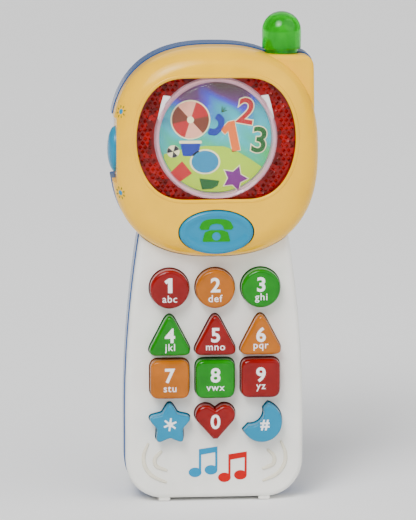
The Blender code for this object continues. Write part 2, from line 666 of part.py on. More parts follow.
def make_batteries():
    nub = 1.0
    half = BATTERY_LENGTH / 2
    for side, name in ((-1, "battery_left"), (1, "battery_right")):
        cell = turned(name, [(0, half), (2.7, half), (2.7, half - nub), (BATTERY_R - 0.6, half - nub),
                             (BATTERY_R, half - nub - 0.6), (BATTERY_R, -half + 0.6), (BATTERY_R - 0.6, -half),
                             (0, -half)], "battery_wrap", (side * 7.5, BATTERY_Y, BATTERY_LOW + half), 20)
        if side > 0:
            cell.rotation_euler = (math.radians(180), 0, 0)
    low, high = BATTERY_LOW - GAP, BATTERY_LOW + BATTERY_LENGTH + GAP
    bridge = boxes("battery_bridge", [((-14.6, 2.2, 29.5), (14.6, 11.8, 29.9))], "steel")
    join(bridge, boxes("bridge_bump", [((5.0, 6.6, 29.7), (10.0, 11.2, low))], None))
    positive = boxes("contact_positive", [((-14.6, 3.8, 85.7), (-1.0, 11.8, 86.1))], "steel")
    join(positive, boxes("positive_bump", [((-10.0, 6.6, high), (-5.0, 11.2, 85.9)),
                                           ((-12.0, 3.8, 85.9), (-10.0, 4.4, 90.6))], None))
    negative = boxes("contact_negative", [((1.0, 3.8, 85.7), (14.6, 11.8, 86.1))], "steel")
    join(negative, boxes("negative_tail", [((10.0, 3.8, 85.9), (12.0, 4.4, 90.6))], None))
    for name, x, base, top in (("battery_spring_left", -7.5, 30.2, low), ("battery_spring_right", 7.5, 85.4, high)):
        turns = 2.0
        count = int(turns * 10)
        wire = 0.3
        rise = math.copysign(1.0, top - base)
        helix = []
        for i in range(count + 1):
            t = i / count
            angle = 2 * math.pi * turns * t
            radius = 4.2 - 1.0 * t
            z = base + rise * wire + (top - base - 2 * rise * wire) * t
            helix.append((x + radius * math.cos(angle), BATTERY_Y + radius * math.sin(angle), z))
        tube(name, helix, wire, "steel")
    for side, name in ((-1, "battery_lead_positive"), (1, "battery_lead_negative")):
        tube(name, smooth_route([(side * 11, 4.1, 91.4), (side * 11, 3.9, 95), (side * 10, 2.2, 99),
                                 (side * 9, 0.9, 102)]), 0.45,
             "red_wire" if side < 0 else "black_wire")


def make_battery_door():
    """The door turns about its outer lower edge, where two tongues hook behind the shell."""
    outline = [(-DOOR_HALF, DOOR_LOW), (DOOR_HALF, DOOR_LOW), (DOOR_HALF, DOOR_HIGH)]
    dip = math.asin((DOOR_EAR_Z - DOOR_HIGH) / DOOR_EAR_R)
    for i in range(13):
        angle = (math.pi + 2 * dip) * i / 12 - dip
        outline.append((DOOR_EAR_R * math.cos(angle), DOOR_EAR_Z + DOOR_EAR_R * math.sin(angle)))
    outline.append((-DOOR_HALF, DOOR_HIGH))
    outline = [(x, z - DOOR_LOW) for x, z in outline]
    door = lofted("battery_door", [(outline, DOOR_INNER_Y - DOOR_OUTER_Y), (outline, 0)], "blue_plastic",
                  (0, DOOR_OUTER_Y, DOOR_LOW))
    tongues = boxes("door_tongues", [((x - 2, 14.9, DOOR_LOW - 1.1), (x + 2, 16.1, DOOR_LOW + 2.4))
                                     for x in (-10, 10)], None)
    roots = boxes("tongue_roots", [((x - 2, 15.5, DOOR_LOW + 0.9), (x + 2, 17.0, DOOR_LOW + 2.4))
                                   for x in (-10, 10)], None)
    seat = turned("door_screw_seat", [(0, -10), (1.6, -10), (1.6, -17.5), (2.9, -17.5), (2.9, -20), (0, -20)],
                  None, (0, 0, DOOR_EAR_Z), 16, "Y")
    join(door, tongues, roots)
    cut(door, seat)
    turned("battery_door_screw", [(0, -17.6 + 4.0), (1.15, -17.6 + 4.0), (1.15, -17.85), (2.5, -17.85),
                                  (2.5, -18.2), (0, -18.2)], "steel", (0, 0, DOOR_EAR_Z), 12, "Y")


def make_screws():
    for i, (x, z) in enumerate(mirrored(ALL_POSTS), 1):
        turned(f"housing_screw_{i}", [(0, 4.5), (1.2, 4.5), (1.2, -9.3), (2.4, -9.3), (2.4, -11.0), (0, -11.0)],
               "steel", (x, 0, z), 10, "Y")


make_rear_shell()
make_keypad_shell()
make_head_cover()
make_antenna()
make_screen()
make_buttons()
make_electronics()
make_batteries()
make_battery_door()
make_screws()
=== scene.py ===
"""Looks of the toy cell phone: smooth shells, tinted keys, a printed picture and studio light.

Lengths here are millimetres from the phone's own axis and parting plane; SHIFT, read from the frame,
moves them to the row frame, and MM turns them into metres.
"""
import json
import math
import random

import bmesh
import bpy
from mathutils import Matrix, Vector


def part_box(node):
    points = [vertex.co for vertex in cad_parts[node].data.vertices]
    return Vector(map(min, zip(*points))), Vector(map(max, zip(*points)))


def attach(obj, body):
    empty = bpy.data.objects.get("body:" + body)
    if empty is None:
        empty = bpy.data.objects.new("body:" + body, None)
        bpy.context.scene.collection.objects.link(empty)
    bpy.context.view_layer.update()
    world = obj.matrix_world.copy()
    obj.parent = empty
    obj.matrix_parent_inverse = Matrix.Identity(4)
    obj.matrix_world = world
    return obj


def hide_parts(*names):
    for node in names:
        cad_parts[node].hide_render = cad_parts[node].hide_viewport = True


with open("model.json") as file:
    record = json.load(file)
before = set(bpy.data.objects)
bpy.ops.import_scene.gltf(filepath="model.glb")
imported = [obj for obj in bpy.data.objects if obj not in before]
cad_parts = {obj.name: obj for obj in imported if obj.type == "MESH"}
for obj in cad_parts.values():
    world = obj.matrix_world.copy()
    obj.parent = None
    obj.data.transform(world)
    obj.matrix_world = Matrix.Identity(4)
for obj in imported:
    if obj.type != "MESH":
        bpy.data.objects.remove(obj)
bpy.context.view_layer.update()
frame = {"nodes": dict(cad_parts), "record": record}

MM = 0.001


def middle(node):
    low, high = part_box(node)
    return (Vector(low) + Vector(high)) / 2


SHIFT = Vector((middle("screen_picture").x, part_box("rear_shell")[0][1], 0.0))

# Main sizes, as in the frame
GAP = 0.3
WALL = 2.0
PROUD = 0.4
HEAD_Z, HEAD_A, HEAD_B, HEAD_POWER = 136.8, 39.8, 40.4, 2.5
BODY_BASE, BODY_TOP, BODY_HALF = 0.8, 108.0, 34.7
CORNER_X, CORNER_Z, TAPER_Z = 20.0, 16.0, 34.0
NECK_HALF, NECK_Z = 29.0, 103.0
BLOCK_RIGHT, BLOCK_TOP = 38.6, 174.0
BACK_Y, FACE_Y, HEAD_FRONT_Y = 18.5, -9.0, -18.3
KEY_HALF = 7.5
KEY_FRONT_Y = -14.0
KEY_COLUMNS = (-17.45, 0.0, 17.45)
KEY_ROWS = (84.6, 66.3, 49.4, 32.6)
SCREEN_Z, SCREEN_HALF_X, SCREEN_HALF_Z = 142.9, 30.6, 23.6
SCREEN_FLAT, SCREEN_BOW = 10.5, 0.8        # half of the straight edge, and how full the side arcs are
PLATE_Y, PLATE_BACK_Y = -15.0, -14.2
LENS_R, LENS_FLAT = 23.0, 22.5
CALL_Z, CALL_A, CALL_B = 107.4, 14.1, 8.4
SIDE_Z, SIDE_Y, SEAT_X = 137.2, -1.0, -37.3
ANTENNA_X, ANTENNA_R = 26.1, 7.5
DOOR_HALF, DOOR_LOW, DOOR_HIGH = 17.2, 28.0, 87.0
DOOR_EAR_Z, DOOR_EAR_R = 89.2, 4.6
DOOR_INNER_Y, DOOR_OUTER_Y = 16.6, 18.2
NECK_POST, BASE_POST, HEAD_POST = (24.0, 96.0), (24.5, 13.0), (31.0, 155.0)
ALL_POSTS = (NECK_POST, BASE_POST, HEAD_POST)
SPEAKER_Z, SWITCH_Z, KNOB_X = 137.0, 104.0, -2.0
FOOT_X = 19.4
FILM_R, FILM_FLAT, FILM_BACK_Y, PICTURE_Y = 21.2, 21.0, -12.2, -12.6
SCREW_FACE_Y = 11.0
PRINT = 0.12        # thickness of a printed mark
DEEPEN = 1.3        # how far a colour is pushed away from grey, because the render pales it

# ---- node materials

def srgb(red, green, blue):
    """A screen colour, 0 to 255, as linear light, deepened to hold its strength in the render."""
    def one(v):
        v = v / 255
        return v / 12.92 if v <= 0.04045 else ((v + 0.055) / 1.055) ** 2.4
    linear = [one(v) for v in (red, green, blue)]
    grey = 0.3 * linear[0] + 0.5 * linear[1] + 0.2 * linear[2]
    return tuple(min(0.95, max(0.002, grey + (v - grey) * DEEPEN)) for v in linear) + (1.0,)


def shade(colour, factor):
    return tuple(min(1.0, c * factor) for c in colour[:3]) + (1.0,)


class Nodes:
    """A material under construction: its node tree, shader and object coordinates."""

    def __init__(self, name, **sockets):
        self.material = bpy.data.materials.new(name)
        self.material.use_nodes = True
        self.tree = self.material.node_tree
        self.shader = self.tree.nodes["Principled BSDF"]
        for socket, value in sockets.items():
            self.shader.inputs[socket.replace("_", " ")].default_value = value
        self.coords = self.tree.nodes.new("ShaderNodeTexCoord").outputs["Object"]

    def add(self, kind, **values):
        node = self.tree.nodes.new("ShaderNode" + kind)
        for key, value in values.items():
            if key in node.inputs:
                node.inputs[key].default_value = value
            else:
                setattr(node, key, value)
        return node

    def link(self, out, into):
        self.tree.links.new(out, into)

    def noise(self, scale, detail=3.0):
        node = self.add("TexNoise", Scale=scale, Detail=detail)
        self.link(self.coords, node.inputs["Vector"])
        return node.outputs["Fac"]

    def ramp(self, fac, stops):
        node = self.add("ValToRGB")
        points = node.color_ramp.elements
        while len(points) < len(stops):
            points.new(0.5)
        for point, (place, colour) in zip(points, stops):
            point.position = place
            point.color = colour
        self.link(fac, node.inputs["Fac"])
        return node.outputs["Color"]

    def vary(self, colour, scale, low=0.93, high=1.05):
        """The base colour, drifting softly between two shades of itself."""
        out = self.ramp(self.noise(scale), [(0.3, shade(colour, low)), (0.7, shade(colour, high))])
        self.link(out, self.shader.inputs["Base Color"])

    def map_range(self, value, low, high, side="To"):
        node = self.add("MapRange", **{f"{side} Min": low, f"{side} Max": high})
        self.link(value, node.inputs["Value"])
        return node.outputs["Result"]

    def roughen(self, scale, low, high):
        self.link(self.map_range(self.noise(scale, 4.0), low, high), self.shader.inputs["Roughness"])

    def bump(self, fac, strength, distance):
        node = self.add("Bump", Strength=strength, Distance=distance)
        self.link(fac, node.inputs["Height"])
        self.link(node.outputs["Normal"], self.shader.inputs["Normal"])


def moulded(name, colour):
    """Glossy injection-moulded plastic: faint flow marks, uneven gloss and a fine skin."""
    m = Nodes(name, IOR=1.3, Coat_Weight=0.12, Coat_Roughness=0.08, Subsurface_Weight=0.03,
              Subsurface_Radius=(0.002, 0.0015, 0.001))
    m.vary(colour, 60.0)
    m.roughen(240.0, 0.16, 0.28)
    m.bump(m.noise(1400.0), 0.15, 0.00002)
    return m.material


def tinted(name, colour, through=0.3):
    """Clear plastic with dye in it: light passes, and the colour pools unevenly."""
    m = Nodes(name, IOR=1.3, Transmission_Weight=through, Coat_Weight=0.2, Coat_Roughness=0.03)
    m.vary(colour, 140.0, 0.82, 1.15)
    m.roughen(300.0, 0.04, 0.10)
    m.bump(m.noise(350.0), 0.2, 0.00003)
    return m.material


def matt(name, colour, rough, metal=0.0):
    """Dull plastic, rubber, card or metal with a fine grain."""
    m = Nodes(name, Metallic=metal)
    m.vary(colour, 300.0, 0.85, 1.1)
    m.roughen(600.0, rough * 0.85, min(1.0, rough * 1.15))
    m.bump(m.noise(1200.0), 0.2, 0.00003)
    return m.material


def printed(name, colour):
    """Silk-screen ink: flat colour with a slight satin and tiny density changes."""
    m = Nodes(name, IOR=1.3)
    m.vary(colour, 900.0, 0.94, 1.04)
    m.roughen(900.0, 0.28, 0.40)
    return m.material


def circuit_board(name):
    """Green solder mask over fine copper runs."""
    m = Nodes(name)
    tracks = m.add("TexBrick", Scale=260.0)
    m.link(m.coords, tracks.inputs["Vector"])
    tracks.inputs["Color1"].default_value = (0.012, 0.13, 0.045, 1)
    tracks.inputs["Color2"].default_value = (0.02, 0.19, 0.07, 1)
    tracks.inputs["Mortar"].default_value = (0.06, 0.30, 0.12, 1)
    m.link(tracks.outputs["Color"], m.shader.inputs["Base Color"])
    m.roughen(500.0, 0.3, 0.5)
    return m.material


def rainbow_film(name):
    """Printed foil: maroon band, rainbow sky and a yellow-green ground, rippled by a painted diffraction sheen and
    given a faint painted glow.
    """
    # The emission strength makes the foil glow faintly though it is no lamp: painted light.
    m = Nodes(name, Metallic=0.1, Coat_Weight=0.3, Coat_Roughness=0.1, Emission_Strength=0.12)
    split = m.add("SeparateXYZ")
    m.link(m.coords, split.inputs["Vector"])
    fade = m.map_range(split.outputs["Z"], (SCREEN_Z - 22) * MM, (SCREEN_Z + 22) * MM, "From")
    # A wave ripple across the printed bands stands in for the foil's diffraction colours: painted sheen.
    painted_sheen_wave = m.add("TexWave", Scale=38.0, Distortion=7.0, Detail=2.0)
    painted_sheen_wave.bands_direction = "DIAGONAL"
    m.link(m.coords, painted_sheen_wave.inputs["Vector"])
    total = m.add("Math", operation="ADD")
    m.link(fade, total.inputs[0])
    m.link(m.map_range(painted_sheen_wave.outputs["Fac"], -0.07, 0.07), total.inputs[1])
    bands = ((0.00, 120, 160, 40), (0.16, 140, 190, 50), (0.30, 70, 175, 100), (0.44, 20, 165, 150),
             (0.58, 50, 175, 190), (0.70, 40, 150, 165), (0.80, 60, 60, 190), (0.88, 80, 20, 90), (1.00, 60, 5, 20))
    colour = m.ramp(total.outputs[0], [(place, srgb(*rgb)) for place, *rgb in bands])
    m.link(colour, m.shader.inputs["Base Color"])
    # The same colour drives the faint emission, the painted glow.
    m.link(colour, m.shader.inputs["Emission Color"])
    m.roughen(500.0, 0.15, 0.35)
    return m.material


def glitter_red(name):
    """Red prismatic plastic, with darker and brighter facets: painted shade and painted glints where the prisms turn
    from or catch the light.
    """
    m = Nodes(name, IOR=1.3, Coat_Weight=0.15, Coat_Roughness=0.1)
    painted_glint_cells = m.add("TexVoronoi", Scale=520.0)
    m.link(m.coords, painted_glint_cells.inputs["Vector"])
    # From dark to bright, these stops are painted shade and painted glints on the facets.
    stops = [(0.0, srgb(72, 2, 6)), (0.35, srgb(98, 3, 8)), (0.7, srgb(124, 5, 11)), (1.0, srgb(150, 12, 18))]
    grey = m.add("RGBToBW")
    m.link(painted_glint_cells.outputs["Color"], grey.inputs["Color"])
    m.link(m.ramp(grey.outputs["Val"], stops), m.shader.inputs["Base Color"])
    m.roughen(600.0, 0.08, 0.25)
    return m.material


def clear(name, colour, alpha, rough=0.03):
    """Thin clear plastic, seen through as a light haze."""
    m = Nodes(name, Alpha=alpha, IOR=1.49, Coat_Weight=1.0, Coat_Roughness=0.02)
    m.vary(colour, 80.0, 0.97, 1.0)
    m.roughen(200.0, rough, rough * 2.5)
    return m.material


LOOKS = {slot: make(f"{slot}_look", *values) for slot, (make, *values) in {
    "blue_plastic": (moulded, srgb(8, 78, 132)),
    "white_plastic": (moulded, srgb(240, 239, 234)),
    "yellow_plastic": (moulded, srgb(240, 190, 14)),
    "teal_plastic": (moulded, srgb(2, 126, 158)),
    "clear_red": (tinted, srgb(138, 5, 10)),
    "clear_amber": (tinted, srgb(186, 116, 8)),
    "clear_green": (tinted, srgb(3, 132, 20)),
    "clear_lens": (clear, (0.7, 0.75, 0.8, 1.0), 0.025),
    "printed_film": (rainbow_film,),
    "carrier_white": (matt, srgb(240, 240, 242), 0.35),
    "silicone": (matt, srgb(190, 193, 196), 0.65),
    "circuit_board": (circuit_board,),
    "black_plastic": (matt, srgb(28, 28, 30), 0.4),
    "steel": (matt, (0.62, 0.62, 0.60, 1), 0.3, 1.0),
    "paper_cone": (matt, srgb(48, 47, 50), 0.85),
    "battery_wrap": (matt, srgb(40, 70, 130), 0.3, 0.4),
    "red_wire": (matt, srgb(190, 30, 28), 0.5),
    "black_wire": (matt, srgb(24, 24, 24), 0.5),
    "led_epoxy": (clear, (0.9, 0.95, 0.92, 1.0), 0.7, 0.1),
}.items()}
GLITTER = glitter_red("bezel_glitter_look")
RING_CLEAR = clear("lens_ring_look", srgb(240, 190, 205), 0.42)
# The ribs get a darker cream than the white face: painted shade that makes them stand out.
RIB_PAINTED_SHADE = moulded("sound_rib_look", srgb(226, 221, 205))
INKS = {name: printed(f"{name}_ink", srgb(*rgb)) for name, rgb in {
    "white": (250, 250, 250), "teal": (4, 128, 165), "red": (170, 14, 26), "green": (4, 128, 20),
    "orange": (225, 120, 10), "purple": (104, 32, 112), "cream": (250, 244, 205), "brown": (105, 52, 30),
    "pink": (240, 180, 160), "blue": (20, 52, 140), "black": (30, 28, 32), "olive": (120, 120, 60),
    "dark_green": (4, 84, 32), "lime": (176, 208, 20),
}.items()}


# ---- making pieces

def finish_piece(obj, slot, *replaces, body="housing", look=None):
    """Gives a finished object its material, from its slot unless a look is given, puts it under its body and hides
    the nodes it replaces.
    """
    obj.data.materials.clear()
    obj.data.materials.append(look or LOOKS[slot])
    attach(obj, body)
    if replaces:
        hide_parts(*replaces)


def evaluated_mesh(obj):
    return bpy.data.meshes.new_from_object(obj.evaluated_get(bpy.context.evaluated_depsgraph_get()))


def from_bmesh(name, bm, smooth=35, weld=False):
    """An object from a bmesh drawn in millimetres, moved to the row frame and to metres."""
    if weld:
        bmesh.ops.remove_doubles(bm, verts=bm.verts, dist=0.0005)
    bmesh.ops.recalc_face_normals(bm, faces=bm.faces)
    bm.transform(Matrix.Translation(SHIFT) @ Matrix.Scale(MM, 4))
    mesh = bpy.data.meshes.new(name)
    bm.to_mesh(mesh)
    bm.free()
    mesh.shade_smooth()
    mesh.set_sharp_from_angle(angle=math.radians(smooth))
    for face in mesh.polygons:
        if face.loop_total > 8:
            face.use_smooth = False
    obj = bpy.data.objects.new(name, mesh)
    bpy.context.scene.collection.objects.link(obj)
    return obj


def baked(obj):
    """Applies the modifiers, removes their cutters and marks the sharp edges again."""
    cutters = [m.object for m in obj.modifiers if m.type == "BOOLEAN"]
    mesh = evaluated_mesh(obj)
    obj.modifiers.clear()
    old = obj.data
    obj.data = mesh
    bpy.data.meshes.remove(old)
    for cutter in cutters:
        bpy.data.objects.remove(cutter, do_unlink=True)
    mesh.shade_smooth()
    mesh.set_sharp_from_angle(angle=math.radians(35))
    return obj


def even_shading(obj):
    mod = obj.modifiers.new("even_shading", "WEIGHTED_NORMAL")
    mod.keep_sharp = True
    return obj


def boolean(obj, other, operation):
    mod = obj.modifiers.new(operation.lower(), "BOOLEAN")
    mod.operation = operation
    mod.solver = "EXACT"
    mod.object = other


def cut(obj, *others):
    for other in others:
        boolean(obj, other, "DIFFERENCE")
    return baked(obj)


def join(obj, *others):
    for other in others:
        boolean(obj, other, "UNION")
    return baked(obj)


def loft(bm, sections):
    """Skins closed outlines of equal count, each [(x, z), ...] at its own y, and caps both ends."""
    rings = [[bm.verts.new((x, y, z)) for x, z in outline] for outline, y in sections]
    count = len(rings[0])
    for near, far in zip(rings, rings[1:]):
        for i in range(count):
            k = (i + 1) % count
            bm.faces.new((near[i], near[k], far[k], far[i]))
    bm.faces.new(rings[0])
    bm.faces.new(rings[-1][::-1])


def lofted(name, sections, smooth=35):
    bm = bmesh.new()
    loft(bm, sections)
    return from_bmesh(name, bm, smooth)


def add_box(bm, low, high):
    size = Vector(high) - Vector(low)
    centre = (Vector(high) + Vector(low)) / 2
    bmesh.ops.create_cube(bm, size=1.0, matrix=Matrix.Translation(centre) @ Matrix.Diagonal(size.to_4d()))


def boxes(name, corners, bevel=0.0):
    bm = bmesh.new()
    for low, high in corners:
        add_box(bm, low, high)
    if bevel:
        bmesh.ops.bevel(bm, geom=bm.edges[:], offset=bevel, segments=3, affect="EDGES")
    return from_bmesh(name, bm)


def rods(name, items, sides=32):
    """One cylinder along Y for each (x, z, radius, y_front, y_back), all in one object."""
    bm = bmesh.new()
    turn = Matrix.Rotation(math.radians(90), 4, "X")
    for x, z, radius, y_front, y_back in items:
        centre = Matrix.Translation((x, (y_front + y_back) / 2, z))
        bmesh.ops.create_cone(bm, cap_ends=True, segments=sides, radius1=radius, radius2=radius,
                              depth=y_back - y_front, matrix=centre @ turn)
    return from_bmesh(name, bm)


def turned(name, profile, centre, steps=64, axis="Z", smooth=35, ring=False):
    """A solid of revolution about Z, or about Y with the profile's height towards -Y."""
    bm = bmesh.new()
    rows = []
    for radius, height in profile:
        row = []
        for i in range(steps if radius > 0 else 1):
            a = 2 * math.pi * i / steps
            spot = Vector((radius * math.cos(a), radius * math.sin(a), height))
            if axis == "Y":
                spot = Vector((spot.x, -spot.z, spot.y))
            row.append(bm.verts.new(spot + Vector(centre)))
        rows.append(row)
    pairs = list(zip(rows, rows[1:])) + ([(rows[-1], rows[0])] if ring else [])
    for near, far in pairs:
        for i in range(steps):
            quad = [near[i % len(near)], near[(i + 1) % len(near)], far[(i + 1) % len(far)], far[i % len(far)]]
            face = list(dict.fromkeys(quad))
            if len(face) > 2:
                bm.faces.new(face)
    return from_bmesh(name, bm, smooth)


def quarter(start, end, steps=8):
    """(inset, y) steps round a quarter ellipse, from the side wall to the front face."""
    (inset0, y0), (inset1, y1) = start, end
    rows = []
    for i in range(steps + 1):
        a = math.pi / 2 * i / steps
        rows.append((inset0 + (inset1 - inset0) * (1 - math.cos(a)), y0 + (y1 - y0) * math.sin(a)))
    return rows


# ---- outlines, as (x, z) points

def ellipse(half_x, half_z, count=72, x=0.0, z=0.0, power=2.0):
    points = []
    for i in range(count):
        angle = 2 * math.pi * i / count
        c, s = math.cos(angle), math.sin(angle)
        points.append((x + half_x * math.copysign(abs(c) ** (2 / power), c),
                       z + half_z * math.copysign(abs(s) ** (2 / power), s)))
    return points


def rounded(corners, radius, steps=8):
    """Replaces each corner of a polygon, given anticlockwise, by an arc-like run of points."""
    points = []
    count = len(corners)
    for i, corner in enumerate(corners):
        here = Vector(corner)
        before = (Vector(corners[i - 1]) - here).normalized()
        after = (Vector(corners[(i + 1) % count]) - here).normalized()
        reach = radius / math.tan(before.angle(after) / 2)
        start, end = here + before * reach, here + after * reach
        for k in range(steps + 1):
            t = k / steps
            point = start * (1 - t) ** 2 + here * 2 * t * (1 - t) + end * t ** 2
            points.append((point.x, point.y))
    return points


def grown(outline, distance):
    """The anticlockwise outline moved outwards by distance, with mitred corners."""
    points = []
    count = len(outline)
    for i, point in enumerate(outline):
        here = Vector(point)
        into = (here - Vector(outline[i - 1])).normalized()
        away = (Vector(outline[(i + 1) % count]) - here).normalized()
        first = Vector((into.y, -into.x))
        second = Vector((away.y, -away.x))
        mitre = (first + second).normalized()
        moved_to = here + mitre * distance / max(mitre.dot(first), 0.5)
        points.append((moved_to.x, moved_to.y))
    return points


def moved(outline, x, z):
    return [(x + dx, z + dz) for dx, dz in outline]


def spun(outline, angle):
    c, s = math.cos(angle), math.sin(angle)
    return [(x * c - z * s, x * s + z * c) for x, z in outline]


def arc_of(half_x, half_z, start, end, steps, x=0.0, z=0.0):
    """Points along an ellipse, from start to end degrees."""
    turns = [math.radians(start + (end - start) * i / steps) for i in range(steps + 1)]
    return [(x + half_x * math.cos(a), z + half_z * math.sin(a)) for a in turns]


def star(long, short, start):
    """The ten corners of a five-pointed star, the first one at start degrees."""
    spots = [((long, short)[i % 2], math.radians(start + 36 * i)) for i in range(10)]
    return [(r * math.cos(a), r * math.sin(a)) for r, a in spots]


def anticlockwise(outline):
    turns = sum(a[0] * b[1] - b[0] * a[1] for a, b in zip(outline, outline[1:] + outline[:1]))
    return outline if turns > 0 else outline[::-1]


def rectangle(x0, z0, x1, z1):
    return [(x0, z0), (x1, z0), (x1, z1), (x0, z1)]


def head_outline(inset=0.0):
    """The head, with its points spread evenly along the edge."""
    points = evenly(ellipse(HEAD_A, HEAD_B, 1024, 0.0, 0.0, HEAD_POWER), 128)
    return [(x * (HEAD_A - inset) / HEAD_A, HEAD_Z + z * (HEAD_B - inset) / HEAD_B) for x, z in points]


def evenly(outline, count):
    """count points at even distances round a closed outline."""
    lengths = [0.0]
    for a, b in zip(outline, outline[1:] + outline[:1]):
        lengths.append(lengths[-1] + math.dist(a, b))
    points = []
    k = 0
    for i in range(count):
        want = lengths[-1] * i / count
        while lengths[k + 1] < want:
            k += 1
        t = (want - lengths[k]) / max(lengths[k + 1] - lengths[k], 1e-9)
        a, b = outline[k], outline[(k + 1) % len(outline)]
        points.append((a[0] + (b[0] - a[0]) * t, a[1] + (b[1] - a[1]) * t))
    return points


def body_half(z):
    """Half width of the handle at height z: widest near the base, narrower at the neck."""
    if z <= TAPER_Z:
        return BODY_HALF
    rise = (z - TAPER_Z) / (NECK_Z - TAPER_Z)
    return BODY_HALF - (BODY_HALF - NECK_HALF) * rise ** 1.9


def body_outline(inset=0.0):
    """The handle: two round corners at the base, and sides that follow body_half up to its top."""
    right = arc_of(BODY_HALF - CORNER_X - inset, CORNER_Z - BODY_BASE - inset, -90, 0, 18, CORNER_X, CORNER_Z)
    for i in range(1, 25):
        z = CORNER_Z + (BODY_TOP - CORNER_Z) * i / 24
        right.append((body_half(z) - inset, z))
    return right + [(-x, z) for x, z in reversed(right)]


def block_outline(inset=0.0):
    """The shoulder that carries the antenna, at the top right of the head."""
    right, top = BLOCK_RIGHT - inset, BLOCK_TOP - inset
    corners = [(12, 138), (right, 138), (right - 0.6, top - 0.3), (12, top)]
    arc = rounded(corners[1:], 5.5 - min(inset, 2.5), 10)[11:22]
    return [corners[0], corners[1], *arc, (18.0, top), corners[3]]


def screen_outline(margin=0.0):
    """The screen opening: flat above and below, with a long arc at each side."""
    half_x, half_z, steps = SCREEN_HALF_X + margin, SCREEN_HALF_Z + margin, 40
    right = []
    for i in range(steps + 1):
        angle = math.radians(-90 + 180 * i / steps)
        bow = abs(math.cos(angle)) ** SCREEN_BOW
        right.append((SCREEN_FLAT + (half_x - SCREEN_FLAT) * bow, SCREEN_Z + half_z * math.sin(angle)))
    return right + [(-x, z) for x, z in reversed(right)]


def screen_half_width(z):
    s = max(-1.0, min(1.0, (z - SCREEN_Z) / SCREEN_HALF_Z))
    return SCREEN_FLAT + (SCREEN_HALF_X - SCREEN_FLAT) * abs(math.cos(math.asin(s))) ** SCREEN_BOW


def lens_outline(radius, flat):
    return [(x, SCREEN_Z + max(-flat, min(flat, z))) for x, z in ellipse(radius, radius, 96)]


def circle_key():
    return ellipse(KEY_HALF, KEY_HALF, 72)


def triangle_key():
    h = KEY_HALF
    return rounded([(-h - 1.6, -h), (h + 1.6, -h), (0, h + 2.6)], 2.6, 12)


def square_key():
    h = KEY_HALF
    return rounded([(-h, -h), (h, -h), (h, h), (-h, h)], 3.4, 12)


def star_key():
    return rounded(moved(star(9.3, 5.2, -126), 0, -1.0), 1.7, 7)


def heart_key():
    """Two round lobes over a blunt point."""
    right = [(0.9, -6.8)] + arc_of(4.0, 4.0, -40, 130, 26, 3.7, 2.5)
    return right + [(0.0, 4.7)] + [(-x, z) for x, z in reversed(right)]


def moon_key():
    """A crescent with round tips, open towards the upper left."""
    outer = arc_of(7.8, 7.8, -114, 114, 44)
    inner = arc_of(5.2, 5.2, 56, -56, 20, -6.0)
    return moved(spun(outer + inner, math.radians(-42)), 0.6, -0.6)


KEYS = {
    "key_1": (circle_key, 0, 0, "clear_red", "1", "abc"),
    "key_2": (circle_key, 1, 0, "clear_amber", "2", "def"),
    "key_3": (circle_key, 2, 0, "clear_green", "3", "ghi"),
    "key_4": (triangle_key, 0, 1, "clear_green", "4", "jkl"),
    "key_5": (triangle_key, 1, 1, "clear_red", "5", "mno"),
    "key_6": (triangle_key, 2, 1, "clear_amber", "6", "pqr"),
    "key_7": (square_key, 0, 2, "clear_amber", "7", "stu"),
    "key_8": (square_key, 1, 2, "clear_green", "8", "vwx"),
    "key_9": (square_key, 2, 2, "clear_red", "9", "yz"),
    "key_star": (star_key, 0, 3, "teal_plastic", "*", ""),
    "key_0": (heart_key, 1, 3, "clear_red", "0", ""),
    "key_hash": (moon_key, 2, 3, "teal_plastic", "#", ""),
}


def key_place(name):
    return KEY_COLUMNS[KEYS[name][1]], KEY_ROWS[KEYS[name][2]]


# ---- housing

def skinned(name, outline_at, steps):
    return lofted(name, [(outline_at(inset), y) for inset, y in steps])


def union_of(name, outlines, steps):
    first = skinned(name, outlines[0], steps)
    return join(first, *[skinned(f"{name}_{at.__name__}", at, steps) for at in outlines[1:]])


def mirrored(spots):
    return [(side * x, z) for x, z in spots for side in (-1, 1)]


def posts(name, spots, radius, y_front, y_back):
    return rods(name, [(x, z, radius, y_front, y_back) for x, z in mirrored(spots)])


def feet(name, y_front, y_back):
    return boxes(name, [((side * FOOT_X - 2.2, y_front, 0), (side * FOOT_X + 2.2, y_back, 2.4))
                        for side in (-1, 1)], 0.25)


def antenna_bore(name):
    bore = ANTENNA_R - 1.0
    return turned(name, [(0, 10), (bore, 10), (bore, -6), (0, -6)], (ANTENNA_X, 0, 171))


def side_loft(name, steps):
    """Ovals (half_y, half_z, x), skinned along X, about the side button's axis."""
    bm = bmesh.new()
    loft(bm, [(ellipse(half_y, half_z, 72), x) for half_y, half_z, x in steps])
    bm.transform(Matrix(((0, 1, 0, 0), (1, 0, 0, SIDE_Y), (0, 0, 1, SIDE_Z), (0, 0, 0, 1))))
    return from_bmesh(name, bm)


def side_bore(name):
    return side_loft(name, [(6.9, 9.1, -50), (6.9, 9.1, -26)])


